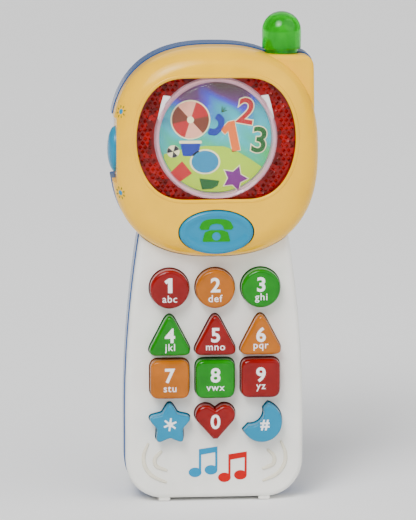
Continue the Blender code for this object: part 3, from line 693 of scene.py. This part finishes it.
def make_rear_shell():
    outlines = (body_outline, head_outline, block_outline)
    shell = union_of("rear_shell_body", outlines, [(0, 0)] + quarter((0, 12.8), (5.4, BACK_Y)))
    hollow = union_of("rear_hollow", outlines, [(WALL, -1), (WALL, 12.4), (3.6, 15.2), (6.0, BACK_Y - WALL)])
    bay = boxes("bay_walls", [((-18.4, 0.9, DOOR_LOW - 2), (18.4, 30, DOOR_HIGH + 1.2))])
    boss = rods("door_boss", [(0, DOOR_EAR_Z, 5.6, 0.9, 30)])
    pad = boxes("rear_seat_pad", [((-45, -5, 123), (-33.2, 30, 151.9))])
    hollow = cut(hollow, bay, boss, posts("rear_posts", ALL_POSTS, 4.0, 3.0, 30.0), pad)
    low, high = DOOR_LOW, DOOR_HIGH
    openings = boxes("battery_bay", [((-15.6, 1.7, low + 1.2), (15.6, 30, high - 0.6))])
    recess = boxes("door_recess", [((-DOOR_HALF - GAP, DOOR_INNER_Y - GAP, low - GAP),
                                    (DOOR_HALF + GAP, 30, high + GAP))])
    pockets = boxes("tongue_pockets", [((x - 3, 12.2, low - 1.6), (x + 3, 16.5, low + 3)) for x in (-10, 10)])
    tails = boxes("tail_slots", [((x - 1.4, 3.4, 80), (x + 1.4, 5.2, 92)) for x in (-11, 11)])
    ear = rods("door_ear_recess", [(0, DOOR_EAR_Z, DOOR_EAR_R + GAP, DOOR_INNER_Y - GAP, 30)])
    ear_bore = rods("door_screw_bore", [(0, DOOR_EAR_Z, 1.75, 5.5, 30)])
    shell = cut(shell, hollow, openings, recess, pockets, tails, ear, ear_bore,
                posts("rear_screw_bores", ALL_POSTS, 1.6, -5.0, 30.0),
                posts("rear_screw_sinks", ALL_POSTS, 2.8, 9.0, 30.0))
    holes = [(0, SPEAKER_Z, 1.2, 10, 30)]
    for count, ring in ((6, 4.6), (12, 9.2)):
        for i in range(count):
            angle = 2 * math.pi * i / count
            holes.append((ring * math.cos(angle), SPEAKER_Z + ring * math.sin(angle), 1.2, 10, 30))
    slot = boxes("switch_slot", [((-5.4, 14, SWITCH_Z - 2.3), (5.4, 30, SWITCH_Z + 2.3))])
    seat = boxes("rear_seat_cut", [((-60, -5, 126), (SEAT_X, 30, 150.5))])
    notch = boxes("rear_seat_notch", [((-61, -6, 125.9), (-35.0, 12.3, 150.6))])
    shell = cut(shell, rods("speaker_grille", holes, 20), slot, seat, notch,
                antenna_bore("rear_antenna_bore"), side_bore("rear_side_bore"))
    shell = join(shell, feet("rear_feet", 8.0, 13.6))
    finish_piece(even_shading(shell), "blue_plastic", "rear_shell")


def make_keypad_shell():
    shell = skinned("keypad_shell_body", body_outline, [(PROUD, -GAP)] + quarter((PROUD, -6.6), (2.6, FACE_Y)))
    hollow = skinned("keypad_hollow", body_outline, [(2.4, 1), (2.4, -6.0), (3.0, FACE_Y + WALL)])
    head = skinned("keypad_head_cut", head_outline, [(PROUD - GAP, 2), (PROUD - GAP, -30)])
    shell = cut(shell, hollow)
    shell = join(shell, posts("keypad_bosses", (NECK_POST, BASE_POST), 3.2, -7.5, 2.7))
    shell = cut(shell, head, posts("keypad_boss_bores", (NECK_POST, BASE_POST), 1.6, -5.5, 5.0))
    rims = []
    for name, (shape, *_) in KEYS.items():
        hole = moved(grown(shape(), 0.4), *key_place(name))
        rims.append(lofted(f"{name}_hole", [(hole, -2), (hole, -30)]))
    shell = cut(shell, *rims)
    shell = join(shell, feet("front_feet", -7.8, -2.4))
    finish_piece(even_shading(shell), "white_plastic", "keypad_shell")


def make_head_cover():
    cover = skinned("head_cover_dome", head_outline,
                    [(PROUD, -GAP)] + quarter((PROUD, -8.5), (9.5, HEAD_FRONT_Y), 14))
    shoulder = skinned("cover_shoulder", block_outline,
                       [(PROUD, -GAP)] + quarter((PROUD, -8.4), (2.6, -10.0), 5))
    cover = join(cover, shoulder)
    hollow = skinned("cover_hollow", head_outline,
                     [(2.4, 1), (2.4, -8.5), (3.4, -12.0), (5.4, -14.6), (8.0, -15.9), (11.0, -16.3)])
    hollow = join(hollow, skinned("shoulder_hollow", block_outline, [(2.4, 1.5), (2.4, -8.0)]))
    hollow = cut(hollow, boxes("cover_seat_pad", [((-45, -12.5, 123), (-34.6, 5, 153))]))
    seat = boxes("cover_seat_cut", [((-60, -30, 126), (SEAT_X, 5, 150.5))])
    chin = boxes("chin_passage", [((-20, -6.7, 90), (20, 3, 106))])
    window = lofted("screen_window", [(screen_outline(), -10), (screen_outline(), -30)])
    oval = ellipse(CALL_A + 0.35, CALL_B + 0.35, 96, 0, CALL_Z)
    cover = cut(cover, hollow, seat, chin, window, lofted("call_hole", [(oval, -5), (oval, -30)]))
    cover = join(cover, boxes("seat_tab", [((SEAT_X, -0.9, 126.3), (-35.3, 12.0, 150.2))]))
    cover = join(cover, posts("cover_bosses", (HEAD_POST,), 3.6, -13.5, 2.7))
    cover = cut(cover, posts("cover_boss_bores", (HEAD_POST,), 1.6, -5.5, 5.0),
                antenna_bore("cover_antenna_bore"), side_bore("cover_side_bore"))
    finish_piece(even_shading(cover), "yellow_plastic", "head_cover")
    rim = ring_along("screen_rim", screen_outline(0.1), HEAD_FRONT_Y + 0.25, 0.75, 0.55)
    finish_piece(rim, "yellow_plastic")


def ring_along(name, outline, y, half_width, half_depth):
    """A closed bead along an outline, oval in section."""
    bm = bmesh.new()
    rows, sides = [], 12
    for i in range(sides):
        a = 2 * math.pi * i / sides
        around = grown(outline, half_width * math.cos(a))
        rows.append([bm.verts.new((x, y + half_depth * math.sin(a), z)) for x, z in around])
    count = len(outline)
    for k in range(sides):
        near, far = rows[k], rows[(k + 1) % sides]
        for i in range(count):
            j = (i + 1) % count
            bm.faces.new((near[i], near[j], far[j], far[i]))
    return from_bmesh(name, bm, 60)


# ---- screen, antenna and battery door

def make_screen():
    window = screen_outline(0.9)
    hole = lens_outline(LENS_R + GAP, LENS_FLAT + GAP)
    plate = lofted("screen_bezel_plate", [(window, PLATE_Y), (window, PLATE_BACK_Y)])
    plate = cut(plate, lofted("bezel_hole", [(hole, -20), (hole, -10)]))
    finish_piece(plate, "clear_red", "screen_bezel", look=GLITTER)

    bm = bmesh.new()
    pitch, half = 1.9, 0.93
    chance = random.Random(4)
    for row in range(-14, 15):
        for column in range(-18, 19):
            x = (column + (row % 2) / 2) * pitch
            z = SCREEN_Z + row * pitch * 0.87
            inside = abs(x) < screen_half_width(z) - 1.4 and abs(z - SCREEN_Z) < SCREEN_HALF_Z - 1.0
            if inside and math.hypot(x, z - SCREEN_Z) > LENS_R + 1.3:
                add_facet(bm, x, z, half, 0.35 + 0.35 * chance.random(), chance.uniform(-0.3, 0.3))
    finish_piece(from_bmesh("bezel_prisms", bm, 10), "clear_red", look=GLITTER)

    wall = [(23.0, 17.6), (LENS_R, 13.9), (24.6, 13.9), (24.6, 12.9), (21.4, 12.9), (21.4, 17.2),
            (21.6, 18.2), (22.4, 18.6)]
    ring = turned("lens_ring", wall, (0, 0, SCREEN_Z), 96, "Y", 35, True)
    flats = [((-30, -25, SCREEN_Z + LENS_FLAT), (30, -10, SCREEN_Z + 30)),
             ((-30, -25, SCREEN_Z - 30), (30, -10, SCREEN_Z - LENS_FLAT))]
    ring = cut(ring, boxes("lens_flats", flats))
    finish_piece(ring, "clear_lens", "screen_lens", look=RING_CLEAR)
    outer = [(21.5 * math.sin(a), 18.2 + 2.8 * math.cos(a)) for a in (math.pi / 2 * i / 12 for i in range(13))]
    inner = [(r * 0.985, h - 0.8) for r, h in reversed(outer)]
    dome = turned("lens_dome", [(0, outer[0][1])] + outer[1:] + inner[:-1] + [(0, inner[-1][1])],
                  (0, 0, SCREEN_Z), 96, "Y", 60)
    finish_piece(dome, "clear_lens")

    for side, name in ((-1, "carrier_ear_left"), (1, "carrier_ear_right")):
        wedge = [(side * 16.8, 158.9), (side * 19.0, 156.2), (side * 21.2, 149.0), (side * 21.9, 150.6),
                 (side * 20.6, 156.4), (side * 19.7, 159.3)]
        wedge = anticlockwise(rounded(wedge if side > 0 else wedge[::-1], 0.35, 3))
        ear = lofted(name, [(wedge, -15.1), (wedge, -16.4), (grown(wedge, -0.2), -16.6)])
        finish_piece(ear, "carrier_white")


def add_facet(bm, x, z, half, height, lean):
    """One low four-sided prism of the bezel, with its point leaning sideways."""
    base = [(x + half, z), (x, z + half), (x - half, z), (x, z - half)]
    low = [bm.verts.new((px, PLATE_Y + 0.05, pz)) for px, pz in base]
    top = bm.verts.new((x + lean, PLATE_Y - height, z + lean / 2))
    for i in range(4):
        bm.faces.new((low[i], low[(i + 1) % 4], top))
    bm.faces.new(low)


def print_plate(name, outline, ink, y, body="housing", slot="printed_film", thick=PRINT):
    """A thin raised mark in one ink, its front face at y."""
    outline = anticlockwise(outline)
    plate = lofted(name, [(outline, y + thick), (outline, y)])
    finish_piece(plate, slot, body=body, look=INKS[ink])


FIGURE_ONE = [(-0.07, -0.36), (0.11, -0.36), (0.11, 0.36), (-0.03, 0.36), (-0.24, 0.22), (-0.17, 0.10),
              (-0.07, 0.16)]


def lettering(name, words, x, z, size, y, ink, body="housing", slot="printed_film", bold=0.0, tilt=0.0,
              thick=PRINT):
    """Raised letters centred on (x, z), with their front at y. The figure 1 has its own outline, with a flag."""
    if words == "1":
        points = grown([(size * a, size * b) for a, b in FIGURE_ONE], bold * 0.6)
        print_plate(name, moved(spun(points, tilt), x, z), ink, y, body, slot, thick)
        return
    curve = bpy.data.curves.new(name, "FONT")
    curve.body = words
    curve.size = size
    curve.align_x = "CENTER"
    curve.align_y = "CENTER"
    curve.offset = bold
    curve.extrude = thick / 2
    curve.resolution_u = 6
    curve.space_character = 1.12
    text = bpy.data.objects.new(name, curve)
    bpy.context.scene.collection.objects.link(text)
    bpy.context.view_layer.update()
    mesh = evaluated_mesh(text)
    bpy.data.objects.remove(text, do_unlink=True)
    bm = bmesh.new()
    bm.from_mesh(mesh)
    bpy.data.meshes.remove(mesh)
    xs = [v.co.x for v in bm.verts]
    ys = [v.co.y for v in bm.verts]
    centre = Vector(((min(xs) + max(xs)) / 2, (min(ys) + max(ys)) / 2, 0))
    turn = Matrix.Rotation(math.radians(90), 4, "X") @ Matrix.Rotation(tilt, 4, "Z")
    bm.transform(Matrix.Translation((x, y + thick / 2, z)) @ turn @ Matrix.Translation(-centre))
    finish_piece(from_bmesh(name, bm, 35, True), slot, body=body, look=INKS[ink])


def outlined_number(name, digit, x, z, size, ink, tilt):
    """A printed number with a pale edge."""
    lettering(f"{name}_edge", digit, x, z, size, PICTURE_Y - PRINT, "cream", bold=0.62, tilt=tilt)
    lettering(name, digit, x, z, size, PICTURE_Y - 2 * PRINT, ink, bold=0.22, tilt=tilt, thick=PRINT * 0.9)


def wedge_of(x, z, radius, start, end):
    """A slice of a disc, from start to end degrees."""
    return [(x, z)] + arc_of(radius, radius, start, end, 10, x, z)


def handset():
    """A telephone handset lying across: two cups hanging from a bowed grip."""
    half = 4.0
    top = arc_of(half, 0.55 * half, 12, 168, 16, 0.0, 0.9)
    left = [(-half * 1.12, -0.4), (-half * 1.0, -1.3), (-half * 0.5, -1.3), (-half * 0.42, 0.1)]
    under = [(-half * 0.28, 0.75), (0, 1.05), (half * 0.28, 0.75)]
    return top + left + under + [(-x, z) for x, z in reversed(left)]


def ground_outline():
    """The printed ground: a hilly top edge, closed by an arc just inside the film's own edge."""
    radius, drop = 20.9, 20.6
    hills = [(-19.4, 136.6), (-12, 138.6), (-4, 139.6), (3.2, 139.4), (8, 137.6), (13, 134.6), (17.6, 131.4)]
    start, end = (math.degrees(math.atan2(z - SCREEN_Z, x)) for x, z in (hills[-1], hills[0]))
    end -= 360 if end > start else 0
    arc = arc_of(radius, radius, start, end, 40, 0.0, SCREEN_Z)[1:-1]
    return hills + [(x, max(SCREEN_Z - drop, z)) for x, z in arc]


def make_picture():
    """The film and its prints; a print's last number is how many thicknesses it stands in front of the film."""
    edge = lens_outline(FILM_R, FILM_FLAT)
    finish_piece(lofted("picture_film", [(edge, FILM_BACK_Y), (edge, PICTURE_Y)]), "printed_film", "screen_picture")
    print_plate("picture_ground", ground_outline(), "lime", PICTURE_Y - PRINT)
    outlined_number("picture_one", "1", 6.5, 143.2, 15.5, "orange", 0.2)
    outlined_number("picture_two", "2", 11.6, 152.8, 13.5, "red", -0.18)
    outlined_number("picture_three", "3", 16.6, 141.8, 13.5, "dark_green", -0.12)

    diamond = [(0.4, 4.1), (-4.0, -0.2), (-0.8, -4.0), (4.2, -0.6)]
    trapezoid = [(-3.8, 1.9), (3.8, 0.9), (3.2, -1.0), (1.0, -2.2), (-2.8, -2.4)]
    spikes, ball, pail, small = star(4.9, 2.6, 70), (-9.4, 149.6), (-9.4, 138.4), (-15.9, 137.6)
    bucket = rounded([(-2.9, -2.6), (2.9, -2.6), (3.9, 2.6), (-3.9, 2.6)], 0.7, 4)
    rim = rounded(rectangle(-4.3, 2.2, 4.3, 3.3), 0.5, 4)
    phone = spun([(x, -z) for x, z in handset()], math.radians(62))
    prints = [
        ("picture_oval_edge", ellipse(5.8, 4.8, 48, -3.9, 133.6), "cream", 2),
        ("picture_oval", ellipse(5.1, 4.2, 48, -3.9, 133.6), "teal", 3),
        ("picture_diamond", moved(diamond, -13.0, 129.8), "red", 2),
        ("picture_trapezoid", moved(trapezoid, -2.3, 125.4), "dark_green", 2),
        ("picture_star_edge", moved([(1.14 * x, 1.14 * z) for x, z in spikes], 7.4, 127.2), "cream", 2),
        ("picture_star", moved(spikes, 7.4, 127.2), "purple", 3),
        ("beach_ball_edge", ellipse(7.5, 7.5, 64, *ball), "cream", 1),
        *[(f"beach_ball_panel_{i + 1}", wedge_of(*ball, 7.0, 60 * i + 12, 60 * i + 72), ink, 2)
          for i, ink in enumerate(("red", "pink", "brown") * 2)],
        ("beach_ball_button", ellipse(1.3, 1.3, 24, *ball), "cream", 3),
        ("toy_pail", moved(bucket, *pail), "blue", 2),
        ("toy_pail_rim", moved(rim, *pail), "cream", 3),
        ("small_ball", ellipse(2.4, 2.4, 40, *small), "cream", 2),
        *[(f"small_ball_patch_{i + 1}", wedge_of(*small, 2.3, 120 * i + 20, 120 * i + 75), "black", 3)
          for i in range(3)],
        ("toy_handset", moved(phone, 0.0, 147.6), "blue", 2),
        *[(f"ring_mark_{i + 1}", moved(spun(rectangle(0, -0.2, 2.2, 0.2), math.radians(20 + 32 * i)), 2.4, 152.4),
           "dark_green", 1) for i in range(3)],
    ]
    for name, outline, ink, layer in prints:
        print_plate(name, outline, ink, PICTURE_Y - layer * PRINT)


def make_antenna():
    outer = [(ANTENNA_R * math.sin(a), 7.6 + 7.6 * math.cos(a)) for a in
             (math.pi / 2 * i / 14 for i in range(15))]
    inner = [(5.2 * math.sin(a), 7.4 + 5.4 * math.cos(a)) for a in
             (math.pi / 2 * (1 - i / 10) for i in range(11))]
    profile = ([(0, outer[0][1])] + outer[1:] + [(7.42, 1.4), (7.1, 1.0), (6.2, 1.0), (6.2, -2.8), (7.2, -2.8),
               (7.2, -4.4), (5.2, -4.4)] + inner[:-1] + [(0, inner[-1][1])])
    cap = turned("antenna_dome", profile, (ANTENNA_X, 0, BLOCK_TOP), 72)
    finish_piece(cap, "clear_green", "antenna_cap", look=tinted("antenna_green_look", srgb(40, 200, 50), 0.75))


def cross_recess(name, x, z, front, depth):
    """The cutter for a cross-head drive, as one plus-shaped outline."""
    w, arm = 0.22, 1.5
    plus = [(w, w), (w, arm), (-w, arm), (-w, w), (-arm, w), (-arm, -w), (-w, -w), (-w, -arm), (w, -arm),
            (w, -w), (arm, -w), (arm, w)]
    return lofted(name, [(moved(plus, x, z), front - depth), (moved(plus, x, z), front + 1)])


def make_screws():
    profile = [(0, 4.5), (1.2, 4.5), (1.2, -9.3), (2.4, -9.3), (2.4, -10.5), (2.2, -10.85), (1.85, -SCREW_FACE_Y),
               (0, -SCREW_FACE_Y)]
    for i, (x, z) in enumerate(mirrored(ALL_POSTS), 1):
        screw = turned(f"screw_{i}", profile, (x, 0, z), 40, "Y")
        screw = cut(screw, cross_recess(f"cross_{i}", x, z, SCREW_FACE_Y, 0.8))
        finish_piece(screw, "steel", f"housing_screw_{i}")
    profile = [(0, -13.6), (1.15, -13.6), (1.15, -17.85), (2.5, -17.85), (2.5, -18), (2.3, -18.15),
               (2, -DOOR_OUTER_Y), (0, -DOOR_OUTER_Y)]
    screw = turned("door_screw", profile, (0, 0, DOOR_EAR_Z), 40, "Y")
    screw = cut(screw, cross_recess("door_cross", 0, DOOR_EAR_Z, DOOR_OUTER_Y, 0.3))
    finish_piece(screw, "steel", "battery_door_screw", body="battery_door")


def make_battery_door():
    low, high = DOOR_LOW, DOOR_HIGH
    dip = math.asin((DOOR_EAR_Z - high) / DOOR_EAR_R)
    outline = [(-DOOR_HALF, low), (DOOR_HALF, low), (DOOR_HALF, high)]
    for i in range(33):
        a = (math.pi + 2 * dip) * i / 32 - dip
        outline.append((DOOR_EAR_R * math.cos(a), DOOR_EAR_Z + DOOR_EAR_R * math.sin(a)))
    outline.append((-DOOR_HALF, high))
    door = lofted("battery_door_panel", [(outline, DOOR_INNER_Y), (outline, DOOR_OUTER_Y - 0.3),
                                         (grown(outline, -0.3), DOOR_OUTER_Y)])
    hooks = [((x - 2, 14.9, low - 1.1), (x + 2, 16.1, low + 2.4)) for x in (-10, 10)]
    roots = [((x - 2, 15.5, low + 0.9), (x + 2, 17.0, low + 2.4)) for x in (-10, 10)]
    door = join(door, boxes("door_hooks", hooks), boxes("door_roots", roots))
    grooves = [((-6 + k, 17.75, low + 8 + 2.4 * i), (6 - k, 19, low + 8.9 + 2.4 * i))
               for i, k in enumerate((0, 0.6, 1.4, 2.4, 3.8))]
    seat_profile = [(0, -10), (1.6, -10), (1.6, -17.5), (2.9, -17.5), (2.9, -20), (0, -20)]
    screw_seat = turned("door_screw_seat", seat_profile, (0, 0, DOOR_EAR_Z), 40, "Y")
    door = cut(door, boxes("door_grooves", grooves), screw_seat)
    finish_piece(even_shading(door), "blue_plastic", "battery_door", body="battery_door")


# ---- keys and buttons

def make_keys():
    for name, (shape, _, _, look, mark, letters) in KEYS.items():
        x, z = key_place(name)
        body = moved(shape(), x, z)
        flange = grown(body, 0.8)
        inset = 0.8 if shape in (star_key, moon_key) else 1.25
        front = [(grown(body, -step), y) for step, y in quarter((0, KEY_FRONT_Y + 1.5), (inset, KEY_FRONT_Y), 7)]
        cap = lofted(f"{name}_cap", [(flange, -5.9), (flange, -6.7), (body, -6.7)] + front, 50)
        finish_piece(cap, look, name, body=name)
        ink = {"body": name, "slot": look, "y": KEY_FRONT_Y - 0.06, "ink": "white"}
        drop = -1.2 if shape is triangle_key else 0.0
        if letters:
            lettering(f"{name}_number", mark, x, z + 1.7 + drop, 7.6, bold=0.2, **ink)
            lettering(f"{name}_letters", letters, x, z - 3.5 + drop * 0.8, 3.9, bold=0.02, **ink)
        elif mark == "*":
            petals = [(r * math.cos(a), r * math.sin(a)) for r, a in
                      (((2.6 if k % 4 in (1, 2) else 1.0), 2 * math.pi * k / 24) for k in range(24))]
            print_plate(f"{name}_flower", moved(petals, x, z - 0.6), "white", ink["y"], name, look)
        else:
            lettering(f"{name}_mark", mark, x + (1.6 if mark == "#" else 0), z + (-1.4 if mark == "#" else 0.2),
                      7.6 if mark == "0" else 5.6, bold=0.16, **ink)


def make_call_button():
    rows = [(0, -12.5), (0, -17.7), (0.25, -18.4), (0.8, -18.85), (1.5, -18.98), (2.2, -18.85), (2.9, -18.45),
            (4.2, -18.3), (6.5, -18.25)]
    button = lofted("call_button_face", [(ellipse(CALL_A - inset, CALL_B - inset, 96, 0, CALL_Z), y)
                                         for inset, y in rows], 50)
    button = join(button, boxes("call_button_stem", [((-2, -13.5, CALL_Z - 2), (2, -7.0, CALL_Z + 2)),
                                                     ((-16.6, -14.6, CALL_Z - 1.8), (16.6, -13.0, CALL_Z + 1.8))]))
    finish_piece(button, "teal_plastic", "call_button", body="call_button")
    face = -18.42
    args = {"body": "call_button", "slot": "teal_plastic", "thick": 0.2}
    base = rounded([(-5.4, -3.6), (5.4, -3.6), (4.4, 0.1), (2.2, 0.9), (-2.2, 0.9), (-4.4, 0.1)], 0.6, 5)
    print_plate("phone_icon_base", moved(base, 0, CALL_Z), "green", face, **args)
    print_plate("phone_icon_dial", ellipse(1.55, 1.55, 36, 0, CALL_Z - 1.5), "teal", face - 0.06, **args)
    print_plate("phone_icon_handset", moved([(1.45 * a, 1.0 * b + 2.3) for a, b in handset()], 0, CALL_Z),
                "green", face, **args)


def make_side_button():
    dome = [(6.5 * math.cos(a), 8.7 * math.cos(a), SEAT_X - 0.2 - 3.0 * math.sin(a))
            for a in (math.pi / 2 * i / 12 for i in range(12))]
    steps = [(7.8, 10.0, -31.9), (7.8, 10.0, -32.9), (6.5, 8.7, -32.9)] + dome + [(0.4, 0.5, -40.5)]
    finish_piece(side_loft("side_button_dome", steps), "teal_plastic", "side_button", body="side_button")


def make_switch_knob():
    ribs = [((KNOB_X - 1.6 + 0.7 * i, 17.8, SWITCH_Z - 1.9), (KNOB_X - 1.3 + 0.7 * i, 18.2, SWITCH_Z + 1.9))
            for i in range(5)]
    body = boxes("knob_body", [((KNOB_X - 1.6, 15.6, SWITCH_Z - 1.9), (KNOB_X + 1.6, 17.85, SWITCH_Z + 1.9))])
    body = join(body, boxes("knob_base", [((KNOB_X - 3.2, 14.9, SWITCH_Z - 3), (KNOB_X + 3.2, 16.1, SWITCH_Z + 3))]),
                boxes("knob_ribs", ribs))
    finish_piece(body, "black_plastic", "power_switch_knob", body="power_switch")


# ---- marks on the shells

def dome_front(x, z):
    """The y of the head cover's front surface at (x, z)."""
    reach = (abs(x / HEAD_A) ** HEAD_POWER + abs((z - HEAD_Z) / HEAD_B) ** HEAD_POWER) ** (1 / HEAD_POWER)
    inset = (1 - reach) * HEAD_A
    c = max(0.0, min(1.0, 1 - (inset - PROUD) / 9.1))
    return -8.5 - 9.8 * math.sqrt(max(0.0, 1 - c * c))


def burst_mark(name, x, z):
    """A dot with short rays, printed on the curved edge of the head."""
    bm = bmesh.new()
    step = 0.2
    dx = (dome_front(x + step, z) - dome_front(x - step, z)) / (2 * step)
    dz = (dome_front(x, z + step) - dome_front(x, z - step)) / (2 * step)
    normal = Vector((dx, -1, dz)).normalized()
    turn = normal.to_track_quat("Z", "Y").to_matrix().to_4x4()
    spot = Matrix.Translation((x, dome_front(x, z), z)) @ turn
    bmesh.ops.create_uvsphere(bm, u_segments=24, v_segments=10, radius=1.0,
                              matrix=spot @ Matrix.Diagonal((1.0, 1.0, 0.18, 1)))
    finish_piece(from_bmesh(f"{name}_dot", bm), "teal_plastic", look=INKS["teal"])
    bm = bmesh.new()
    for i in range(8):
        ray = spot @ Matrix.Rotation(math.pi / 4 * i + 0.3, 4, "Z") @ Matrix.Translation((2.0, 0, 0.0))
        bmesh.ops.create_uvsphere(bm, u_segments=12, v_segments=8, radius=1.0,
                                  matrix=ray @ Matrix.Diagonal((0.62, 0.22, 0.16, 1)))
    finish_piece(from_bmesh(f"{name}_rays", bm), "yellow_plastic", look=INKS["olive"])


def sound_arc(name, points):
    """A low raised rib on the keypad face, from a smooth run through its own points."""
    path, half_width = [], 0.75
    ends = [points[0]] + points + [points[-1]]
    for a, b, c, d in zip(ends, ends[1:], ends[2:], ends[3:]):
        for i in range(8):
            t = i / 8
            path.append(tuple(0.5 * (2 * q + (r - p) * t + (2 * p - 5 * q + 4 * r - s) * t * t
                                     + (3 * q - p - 3 * r + s) * t ** 3) for p, q, r, s in zip(a, b, c, d)))
    path.append(points[-1])
    left, right = [], []
    for i, here in enumerate(path):
        ahead = Vector(path[min(i + 1, len(path) - 1)]) - Vector(path[max(i - 1, 0)])
        swell = 0.35 + 0.65 * math.sin(math.pi * (i + 0.5) / len(path)) ** 0.5
        side = Vector((-ahead.y, ahead.x)).normalized() * half_width * swell
        left.append((here[0] + side.x, here[1] + side.y))
        right.append((here[0] - side.x, here[1] - side.y))
    outline = anticlockwise(left + right[::-1])
    rib = lofted(name, [(outline, -8.6), (outline, -9.3), (grown(outline, -0.3), -9.6)], 50)
    # The rib's cream colour is painted shade along it.
    finish_piece(rib, "white_plastic", look=RIB_PAINTED_SHADE)


def make_marks():
    burst_mark("burst_upper", -35.6, 153.2)
    burst_mark("burst_lower", -36.0, 122.4)
    arcs = {"outer": [(25.6, 23.6), (27.4, 19.0), (27.0, 14.4), (24.0, 10.4), (18.6, 7.8)],
            "inner": [(20.4, 20.4), (23.0, 17.6), (22.6, 14.4), (18.4, 12.6)]}
    for side, word in ((-1, "left"), (1, "right")):
        for place, points in arcs.items():
            sound_arc(f"sound_arc_{place}_{word}", [(side * x, z) for x, z in points])
    y = FACE_Y - 0.1
    args = {"body": "housing", "slot": "white_plastic"}
    for name, x, z, ink in (("note_teal", -6.0, 11.6, "teal"), ("note_red", 5.4, 9.4, "red")):
        print_plate(f"{name}_head_left", ellipse(2.5, 1.9, 32, x - 1.6, z), ink, y, **args)
        print_plate(f"{name}_head_right", ellipse(2.5, 1.9, 32, x + 4.6, z + 0.9), ink, y, **args)
        stems = [(-0.1, 0.4), (0.8, 0.4), (0.8, 7.0), (6.2, 7.9), (6.2, 1.2), (7.1, 1.2), (7.1, 10.2), (-0.1, 9.2)]
        print_plate(f"{name}_stems", moved(stems, x, z), ink, y - 0.02, **args)


# ---- build

make_rear_shell()
make_keypad_shell()
make_head_cover()
make_screen()
make_picture()
make_antenna()
make_screws()
make_battery_door()
make_keys()
make_call_button()
make_side_button()
make_switch_knob()
make_marks()

slots = {part["node"]: part["material_slot"] for part in frame["record"]["subparts"]}
for node, obj in frame["nodes"].items():
    obj.data.materials.clear()
    obj.data.materials.append(LOOKS[slots[node]])


# ---- floor, light and camera

def make_stage():
    bpy.ops.mesh.primitive_plane_add(size=60.0, location=(0, 0, -0.0002))
    floor = bpy.context.object
    floor.name = "floor"
    paper = Nodes("floor_paper", Roughness=0.9)
    paper.vary((0.90, 0.90, 0.90, 1), 3.0, 0.99, 1.0)
    floor.data.materials.append(paper.material)


def add_light(name, kind, direction, power, place=(0, 0, 0), **settings):
    """A lamp whose light comes from the given direction."""
    lamp = bpy.data.lights.new(name, kind)
    lamp.energy = power
    for key, value in settings.items():
        setattr(lamp, key, value)
    obj = bpy.data.objects.new(name, lamp)
    obj.location = place
    obj.rotation_euler = Vector(direction).to_track_quat("Z", "Y").to_euler()
    bpy.context.scene.collection.objects.link(obj)


def make_lights():
    add_light("key_light", "SUN", (-0.5, -0.9, 1.1), 2.7, angle=math.radians(40))
    add_light("fill_light", "SUN", (0.9, -0.7, 0.8), 1.3, angle=math.radians(70))
    add_light("back_light", "SUN", (0.2, 1.0, 0.9), 0.6, angle=math.radians(60))
    add_light("highlight", "AREA", (-0.35, -0.75, 0.85), 5.0, (-0.35, -0.75, 0.95), shape="DISK", size=0.35)
    world = bpy.data.worlds.new("studio")
    world.use_nodes = True
    background = world.node_tree.nodes["Background"]
    background.inputs["Color"].default_value = (1, 1, 1, 1)
    background.inputs["Strength"].default_value = 0.32
    bpy.context.scene.world = world


def make_camera():
    """A long lens about a metre off, a little above the phone and to its left."""
    turn, rise, distance = math.radians(-4.0), math.radians(10.4), 1.05
    target = Vector((0, 0, 0.095)) + SHIFT
    back = Vector((math.sin(turn) * math.cos(rise), -math.cos(turn) * math.cos(rise), math.sin(rise)))
    lens = bpy.data.cameras.new("camera")
    lens.lens = 188.8
    lens.sensor_width = 36.0
    lens.sensor_fit = "AUTO"
    lens.shift_x = -0.0096
    lens.shift_y = -0.0077
    lens.clip_start = 0.01
    obj = bpy.data.objects.new("camera", lens)
    obj.location = target + back * distance
    obj.rotation_euler = (-back).to_track_quat("-Z", "Y").to_euler()
    bpy.context.scene.collection.objects.link(obj)
    bpy.context.scene.camera = obj


make_stage()
make_lights()
make_camera()
